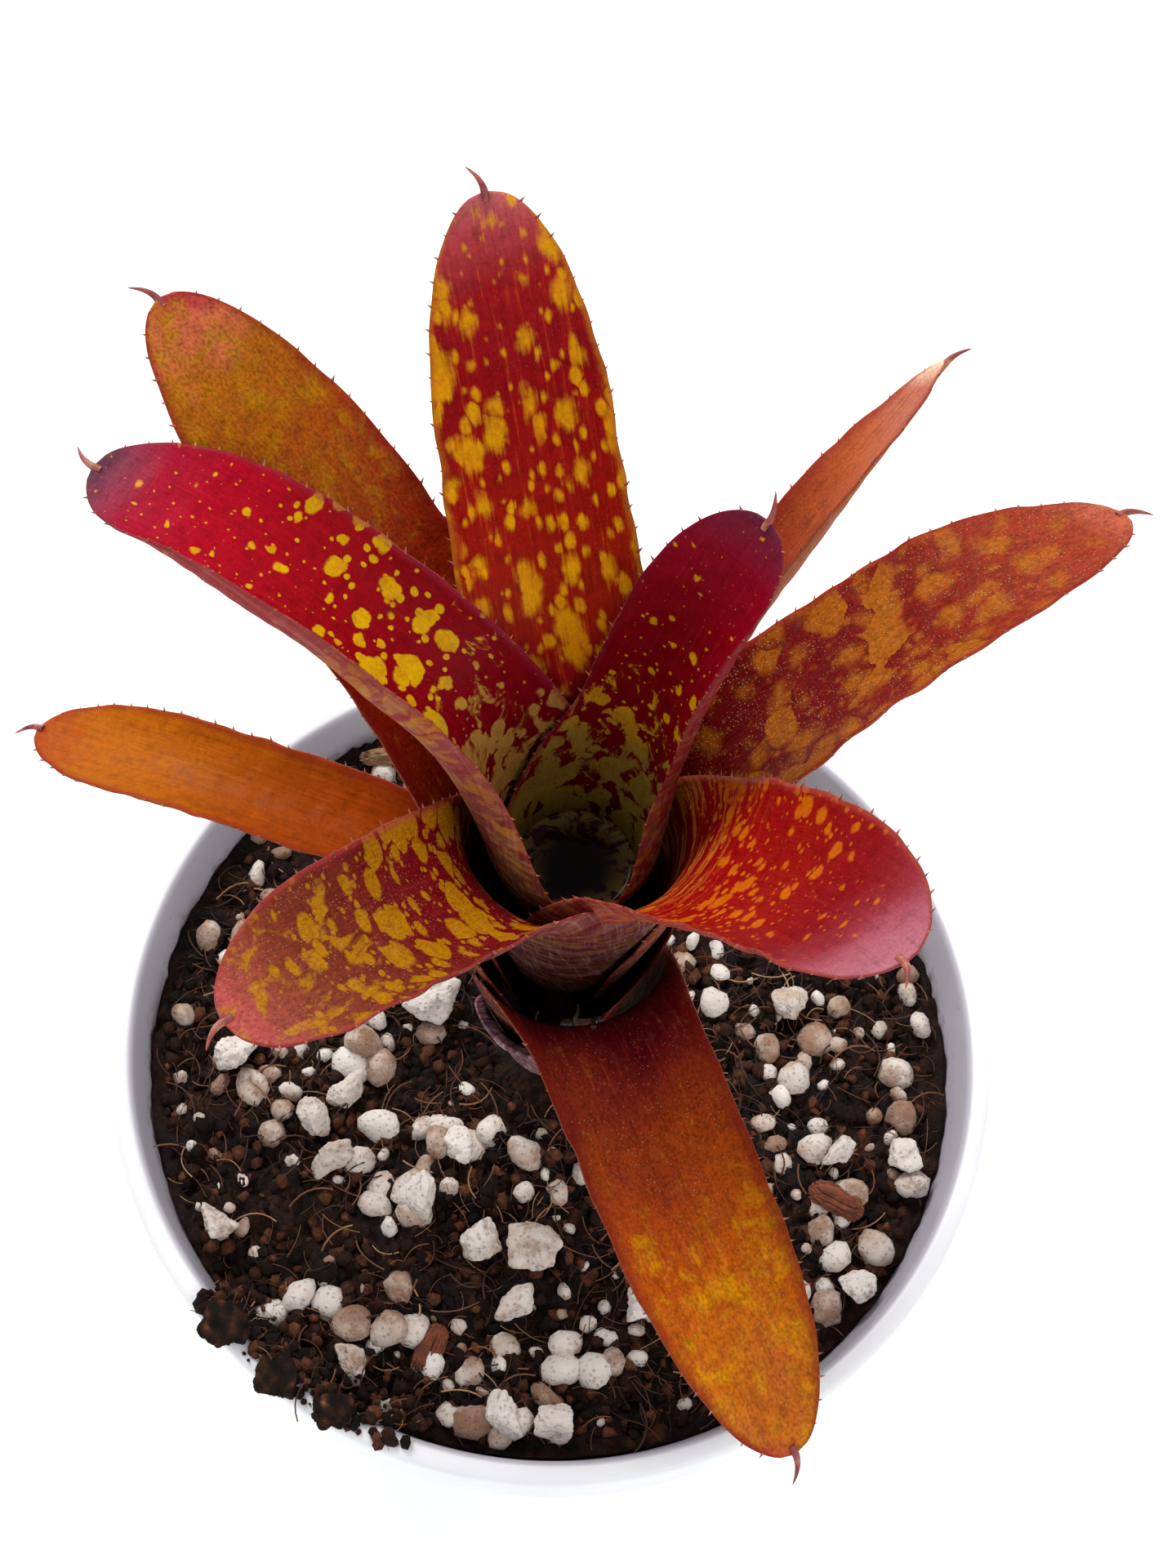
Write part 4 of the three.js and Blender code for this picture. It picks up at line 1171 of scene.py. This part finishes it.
def place_copies(graph, given, shape, turns, scale, lift):
    """A copy of a shape on each point: turned, scaled, lifted and given a tone of its own."""
    seed = given["Seed"]
    spin = graph.node("FunctionNodeRandomValue", {"data_type": "FLOAT_VECTOR"},
                      {0: turns[0], 1: turns[1], "Seed": seed + 1}, 0)
    copies = graph.node("GeometryNodeInstanceOnPoints", {}, {
        "Points": scatter_points(graph, given), "Instance": shape, "Rotation": spin, "Scale": scale})
    copies = graph.node("GeometryNodeStoreNamedAttribute", {"data_type": "FLOAT", "domain": "INSTANCE"}, {
        "Geometry": copies, "Name": "tone", "Value": random_number(graph, 0.0, 1.0, seed + 5)})
    return graph.node("GeometryNodeTranslateInstances", {}, {
        "Instances": copies, "Translation": graph.vector(0.0, 0.0, lift), "Local Space": False})


def random_size(graph, given, power):
    """A size between the smallest and the largest, with more small ones for a higher power."""
    draw = random_number(graph, 0.0, 1.0, given["Seed"] + 2)
    return given["Smallest"] + (given["Largest"] - given["Smallest"]) * draw ** power


def scatter_lumps(source, name, sizes, material, level):
    """Irregular grains: one small ball on each point, turned, stretched and pushed out of round."""
    tree, graph, given = geometry_tree(name + "_tree", sizes)
    ball = graph.node("GeometryNodeMeshIcoSphere", {}, {"Radius": 0.5, "Subdivisions": level})
    size = random_size(graph, given, 1.8)
    squash = random_number(graph, 0.6, 1.0, given["Seed"] + 3)
    stretch = random_number(graph, 0.85, 1.25, given["Seed"] + 4)
    lumps = place_copies(graph, given, ball, ((0.0, 0.0, 0.0), (FULL_TURN, FULL_TURN, FULL_TURN)),
                         graph.vector(size * stretch, size, size * squash), size * given["Lift"])
    real = graph.node("GeometryNodeRealizeInstances", {}, {0: lumps})
    place = graph.node("GeometryNodeInputPosition")
    normal = graph.node("GeometryNodeInputNormal")
    push = (graph.noise(place, given["Knobs"], 3.0) - 0.5) * given["Roughness"]
    offset = graph.node("ShaderNodeVectorMath", {"operation": "SCALE"}, {0: normal, "Scale": push})
    shaped = graph.node("GeometryNodeSetPosition", {}, {"Geometry": real, "Offset": offset})
    close_tree(graph, shaped, material)
    return run_tree(source, tree, sizes, name)


def scatter_fibres(source, name, sizes, material):
    """Thin bent fibres lying on the mix."""
    tree, graph, given = geometry_tree(name + "_tree", sizes)
    arc = graph.node("GeometryNodeCurveQuadraticBezier", {}, {
        "Resolution": 6, "Start": (-0.5, 0, 0), "Middle": (0.05, 0.35, 0.16), "End": (0.5, -0.02, 0.03)})
    wire = graph.node("GeometryNodeCurvePrimitiveCircle", {}, {"Resolution": 4, "Radius": 0.02})
    fibre = graph.node("GeometryNodeCurveToMesh", {},
                       {"Curve": arc, "Profile Curve": wire, "Fill Caps": True})
    size = random_size(graph, given, 2.0)
    bend = random_number(graph, 0.3, 1.2, given["Seed"] + 3)
    turns = ((-FIBRE_TILT, -FIBRE_TILT, 0.0), (FIBRE_TILT, FIBRE_TILT, FULL_TURN))
    fibres = place_copies(graph, given, fibre, turns, graph.vector(size, size * bend, size), given["Lift"])
    close_tree(graph, fibres, material)
    return run_tree(source, tree, sizes, name)


def icosphere(level):
    """Corners and faces of a ball of diameter 1."""
    mesh = bmesh.new()
    bmesh.ops.create_icosphere(mesh, subdivisions=level, radius=0.5)
    points = np.array([v.co[:] for v in mesh.verts])
    faces = [[v.index for v in f.verts] for f in mesh.faces]
    mesh.free()
    return points, faces


def faceted_ball(points, rng, planes=16, soft=9.0):
    """Reach of a worn, many-sided lump in each direction of a ball's points."""
    ways = unit(points)
    sides = unit(rng.normal(size=(planes, 3)))
    distances = rng.uniform(0.36, 0.56, planes)
    facing = np.maximum(ways @ sides.T, 0.05)
    return np.sum((distances / facing) ** -soft, 1) ** (-1 / soft)


# Relief of the larger pieces in the mix, as pairs of height and wavelength for bodies of size 1.
GRAIN_RELIEF = dict(bulge=(0.05, 0.45), knob=(0.022, 0.17), pit=(0.012, 0.07))
CLOD_RELIEF = dict(bulge=(0.13, 0.7), knob=(0.05, 0.28), pit=(0.02, 0.11))
CLOD_SHARE = (0.78, 0.78, 0.74)
CHIP = dict(width=0.8, boxiness=0.45, knob=0.05, notch=0.1)
FINE_BALL = 5


def relief(which, seed, points):
    """Height of one kind of relief at points round a ball."""
    height, wavelength = which
    return height * Waves(seed, wavelength, dims=3)(*points.T)


def build_grain(name, node, seed, material):
    """A worn, knobbly grain that fills the box of its plain solid."""
    low, high = (np.array(corner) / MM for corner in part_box(node))
    points, faces = icosphere(FINE_BALL)
    rng = np.random.default_rng(seed)
    reach = faceted_ball(points, rng)
    bulge = 1 + relief(GRAIN_RELIEF["bulge"], seed, points) + relief(GRAIN_RELIEF["knob"], seed + 1, points)
    pits = relief(GRAIN_RELIEF["pit"], seed + 2, points)
    points = unit(points) * (reach * (bulge + pits))[:, None]
    span = points.max(0) - points.min(0)
    points = (points - points.min(0)) / span * (high - low) + low
    tone = np.full(len(points), rng.uniform(0.35, 1.0))
    return make_piece(name, points, faces, material, {"tone": tone})


def build_chip(name, node, seed, material, slivers=0.12):
    """A splintered chip that fills the box of its plain solid, along the solid's own length."""
    solid = np.array([v.co[:] for v in frame["nodes"][node].data.vertices]) / MM
    middle = (solid.min(0) + solid.max(0)) / 2
    flat = solid[:, :2] - middle[:2]
    _, ways = np.linalg.eigh(flat.T @ flat)
    length_way = np.append(ways[:, -1], 0)
    width_way = np.append(ways[:, 0], 0)
    length = np.ptp(solid @ length_way)
    width = np.ptp(solid @ width_way) * CHIP["width"]
    depth = solid[:, 2].max() - solid[:, 2].min()
    points, faces = icosphere(FINE_BALL)
    x, y, z = points.T * 2
    boxy = np.sign(x) * np.abs(x) ** CHIP["boxiness"]
    ridges = 1 + slivers * Waves(seed, 0.5, dims=2)(y * 2, z * 2)
    ridges = ridges + CHIP["knob"] * Waves(seed + 1, 0.3, dims=3)(x, y, z)
    notch = 1 - CHIP["notch"] * np.abs(Waves(seed + 2, 0.4, dims=2)(y, z))
    shaped = (length_way * (boxy * notch * length / 2)[:, None]
              + width_way * (y * ridges * width / 2)[:, None]
              + np.array([0, 0, 1]) * (z * ridges * depth / 2)[:, None])
    return make_piece(name, middle + shaped, faces, material)


def build_clod(name, node, seed, material):
    """A clod of mix that fills most of the box of its plain solid."""
    low, high = (np.array(corner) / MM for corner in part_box(node))
    points, faces = icosphere(FINE_BALL)
    bulge = 1 + relief(CLOD_RELIEF["bulge"], seed, points) + relief(CLOD_RELIEF["knob"], seed + 1, points)
    bulge = bulge + relief(CLOD_RELIEF["pit"], seed + 2, points)
    points = unit(points) * 0.5 * bulge[:, None]
    middle, size = (low + high) / 2, (high - low) * CLOD_SHARE
    points = (points - points.min(0)) / np.ptp(points, axis=0) * size + middle - size / 2
    points[:, 2] -= GAP + (high[2] - low[2] - size[2]) / 2
    tone = 0.42 + 0.2 * Waves(seed + 3, 2.2, dims=3)(*points.T)
    return make_piece(name, points, faces, material, {"tone": tone})


# ---------------------------------------------------------------- water
WATER_FOOT_INSET = 0.5
# The surface next to the sheath, as pairs of distance from it and drop below its highest line.
MENISCUS = ((0.25, 0.12), (0.7, 0.24), (1.6, 0.3))


def build_water(material):
    """The pool between the youngest sheaths, its surface drawn up at the edge."""
    low, high = (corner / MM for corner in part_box("tank_water"))
    top = high.z
    surface = funnel_radius(top - LAST_NODE) - SHEATH_THICKNESS / 2
    profile = [(0, low.z), (funnel_radius(low.z - LAST_NODE) - WATER_FOOT_INSET, low.z)]
    for z in np.linspace(low.z + 1, top, 6):
        profile.append((funnel_radius(z - LAST_NODE) - SHEATH_THICKNESS / 2, z))
    profile += [(surface - inset, top - drop) for inset, drop in MENISCUS]
    profile.append((0, top - MENISCUS[-1][1]))
    return revolve("tank_water_pool", profile, material, 96)


def build_drops(places, material):
    """Beads of water: each is [x, y, z, diameter]."""
    ball, ball_faces = icosphere(4)
    points, faces = [], []
    for x, y, z, diameter in places:
        base = len(points)
        points += (ball * [diameter, diameter, diameter * 0.8] + [x, y, z]).tolist()
        faces += [[base + i for i in face] for face in ball_faces]
    return make_piece("axil_drops", points, faces, material)


# ---------------------------------------------------------------- stage
def build_stage():
    paint = Paint("floor_white")
    cloud = paint.noise(paint.place(), 6.0, 2.0)
    white = paint.ramp(cloud, [(0.3, srgb(250, 250, 251)), (0.7, srgb(252, 252, 253))])
    floor_paint = paint.finish(Base_Color=white, Roughness=0.9, Emission_Color=(1, 1, 1, 1),
                               Emission_Strength=0.12)
    reach = 9000.0
    corners = [(-reach, -reach, -0.2), (reach, -reach, -0.2), (reach, reach, -0.2), (-reach, reach, -0.2)]
    floor = make_piece("floor", corners, [[0, 1, 2, 3]], floor_paint, smooth=False)

    world = bpy.data.worlds.new("studio")
    world.use_nodes = True
    world.node_tree.nodes["Background"].inputs["Color"].default_value = (0.96, 0.98, 1.0, 1)
    world.node_tree.nodes["Background"].inputs["Strength"].default_value = 0.75
    bpy.context.scene.world = world

    def area_light(name, place, aim, size, power, color=(1, 1, 1)):
        data = bpy.data.lights.new(name, "AREA")
        data.shape, data.size, data.energy, data.color = "DISK", size, power, color
        lamp = bpy.data.objects.new(name, data)
        lamp.location = place
        lamp.rotation_euler = (Vector(aim) - Vector(place)).to_track_quat("-Z", "Y").to_euler()
        bpy.context.scene.collection.objects.link(lamp)

    heart = (0, 0, 0.12)
    area_light("window_light", (-0.35, 0.55, 0.75), heart, 0.45, 7.0, (1.0, 0.99, 0.97))
    area_light("fill_light", (0.6, -0.5, 0.6), heart, 0.6, 2.5)

    bpy.context.scene.view_settings.view_transform = "Standard"

    camera = bpy.data.objects.new("camera", bpy.data.cameras.new("camera"))
    camera.data.lens, camera.data.sensor_width, camera.data.sensor_fit = 50, 36, "AUTO"
    camera.data.clip_start = 0.01
    pitch, roll = math.radians(62.71), math.radians(7.3)
    level_right, level_up = Vector((1, 0, 0)), Vector((0, math.sin(pitch), math.cos(pitch)))
    right = level_right * math.cos(roll) + level_up * math.sin(roll)
    up = level_up * math.cos(roll) - level_right * math.sin(roll)
    turn = Matrix((right, up, right.cross(up))).transposed().to_4x4()
    camera.matrix_world = Matrix.Translation((0.0002, -0.093, 0.335)) @ turn
    bpy.context.scene.collection.objects.link(camera)
    bpy.context.scene.camera = camera


# ---------------------------------------------------------------- the object
build_stage()

pot = build_pot(pot_material())
stand_for(pot, "pot_plastic", "pot")

peat = soil_material()
soil_bed = build_soil(peat)
stand_for(soil_bed, "potting_soil", "soil")

stem_foot, stem_shoulder, stem_top = SOIL_LEVEL - 3.9, LAST_NODE + 0.9, LAST_NODE + 1.1
node_swell = 0.12
stem_profile = [(0, stem_foot)]
for z in np.linspace(stem_foot, stem_shoulder, 60):
    stem_profile.append((STEM_RADIUS - 0.05 + node_swell * math.sin(z * 2 * math.pi / NODE_SPACING), z))
stem_profile.append((0, stem_top))
stand_for(revolve("stem_rod", stem_profile, stem_material(), 48), "stem", "stem")

midribs, margins = [], []
for i, leaf in enumerate(LEAVES):
    number = i + 1
    skin = leaf_material(number, LEAF_LOOKS[number])
    foot = FIRST_NODE + NODE_SPACING * i
    piece, line, edges = build_leaf(f"strap_leaf_{number:02d}", leaf, foot, skin, 100 + 7 * number,
                                    rolled=ROLLED_MARGINS.get(number, (1, 0)),
                                    wrapped=LONG_WRAPS.get(number, (1, 0)))
    stand_for(piece, f"leaf_{number:02d}", f"leaf_{number:02d}")
    midribs.append(line)
    margins += margin_lines(line, edges)
spine_horn = plain_material("spine_horn", 900.0, 2.0, [(0.35, (112, 34, 26)), (0.65, (176, 92, 66))],
                            Roughness=0.45)
hook_horn = plain_material("tip_hook_horn", 700.0, 3.0,
                           [(0.3, (104, 28, 34)), (0.55, (146, 66, 56)), (0.75, (188, 128, 96))],
                           Roughness=0.5)
stand_for(build_spines(margins, spine_horn), "leaf_04")
stand_for(build_hooks(midribs, hook_horn), "leaf_04")

old_foot = SOIL_LEVEL + SOIL_SWELL + GAP
old_piece, _, _ = build_leaf("dried_sheath_wrap", DRIED_SHEATH, old_foot, dried_material(), 300,
                             blade_rows=50, wobble=2.0)
stand_for(old_piece, "dried_sheath", "dried_sheath")

stand_for(build_water(water_material()), "tank_water", "tank_water")

oldest = midribs[0]
drop_places = []
# Each drop: its share of the blade's length, its distance from the midrib and its diameter.
for share, aside, diameter in ((0.06, -2.6, 1.5), (0.1, 0.6, 1.0), (0.16, -0.8, 0.7)):
    at = int(np.abs(oldest["u"] - share).argmin())
    spot = oldest["point"][at] + oldest["side"][at] * aside
    spot = spot + oldest["inward"][at] * (aside ** 2 / (2 * oldest["radius"][at]) + 0.25 + diameter * 0.25)
    drop_places.append([*spot, diameter])
clear_water = plain_material("water_drops", 600.0, 2.0, [(0.3, (236, 240, 242)), (0.7, (250, 252, 252))],
                             Roughness=0.02, IOR=1.33, Transmission_Weight=0.95)
stand_for(build_drops(drop_places, clear_water), "tank_water")

foam, crumb_paint, fibre_paint = perlite_material(), crumb_material(), fibre_material()
nodes = frame["nodes"]
for node in sorted(n for n in nodes if n.startswith("perlite_")):
    number = int(node[-2:])
    grain = build_grain(f"perlite_grain_{number:02d}", node, 400 + 5 * number, foam)
    stand_for(grain, "perlite", node)
for node in sorted(n for n in nodes if n.startswith("soil_clod_")):
    clod = build_clod(f"rim_clod_{node[-2:]}", node, 600 + int(node[-2:]), crumb_paint)
    stand_for(clod, "potting_soil", node)
pale_wood = wood_material("pale_wood", (112, 78, 54), (178, 134, 96))
stand_for(build_chip("pale_stick", "wood_stick", 701, pale_wood), "wood_chip", "wood_stick")
bark = wood_material("rust_bark", (74, 34, 20), (150, 78, 46))
for number in (1, 2):
    node = f"bark_chip_{number:02d}"
    stand_for(build_chip(f"bark_flake_{number:02d}", node, 710 + number, bark), "wood_chip", node)

# Subdivisions of the balls that the scattered grains and crumbs are made from.
GRAIN_BALL, CRUMB_BALL = 2, 1
patch = soil_patch("scatter_patch", 7.5, 47.0)
small_sizes = {"Apart": 2.5 * MM, "Density": 200000.0, "Smallest": 1.3 * MM, "Largest": 5.2 * MM,
               "Lift": 0.12, "Knobs": 340.0, "Roughness": 2.6 * MM, "Patches": 70.0,
               "Bareness": 0.72, "Seed": 21}
stand_for(scatter_lumps(patch, "perlite_small_grains", small_sizes, foam, GRAIN_BALL), "perlite")
crumb_sizes = {"Apart": 0.8 * MM, "Density": 1600000.0, "Smallest": 0.4 * MM, "Largest": 2.3 * MM,
               "Lift": 0.14, "Knobs": 1200.0, "Roughness": 2.6 * MM, "Patches": 60.0,
               "Bareness": 0.3, "Seed": 33}
stand_for(scatter_lumps(patch, "peat_crumbs", crumb_sizes, crumb_paint, CRUMB_BALL), "potting_soil")
fibre_sizes = {"Apart": 0.7 * MM, "Density": 700000.0, "Smallest": 1.0 * MM, "Largest": 6.0 * MM,
               "Lift": 0.7 * MM, "Patches": 90.0, "Bareness": 0.7, "Seed": 44}
stand_for(scatter_fibres(patch, "peat_fibres", fibre_sizes, fibre_paint), "potting_soil")
drop_source(patch)

ribbon = rim_patch(226, 259)
spill_sizes = {"Apart": 0.55 * MM, "Density": 2500000.0, "Smallest": 0.35 * MM, "Largest": 2.2 * MM,
               "Lift": 0.1, "Knobs": 900.0, "Roughness": 0.8 * MM, "Patches": 200.0,
               "Bareness": 0.4, "Seed": 52}
stand_for(scatter_lumps(ribbon, "rim_crumbs", spill_sizes, crumb_paint, CRUMB_BALL), "potting_soil")
strand_sizes = {"Apart": 0.8 * MM, "Density": 500000.0, "Smallest": 1.5 * MM, "Largest": 5.5 * MM,
                "Lift": 0.4 * MM, "Patches": 200.0, "Bareness": 0.4, "Seed": 57}
stand_for(scatter_fibres(ribbon, "rim_fibres", strand_sizes, fibre_paint), "potting_soil")
drop_source(ribbon)
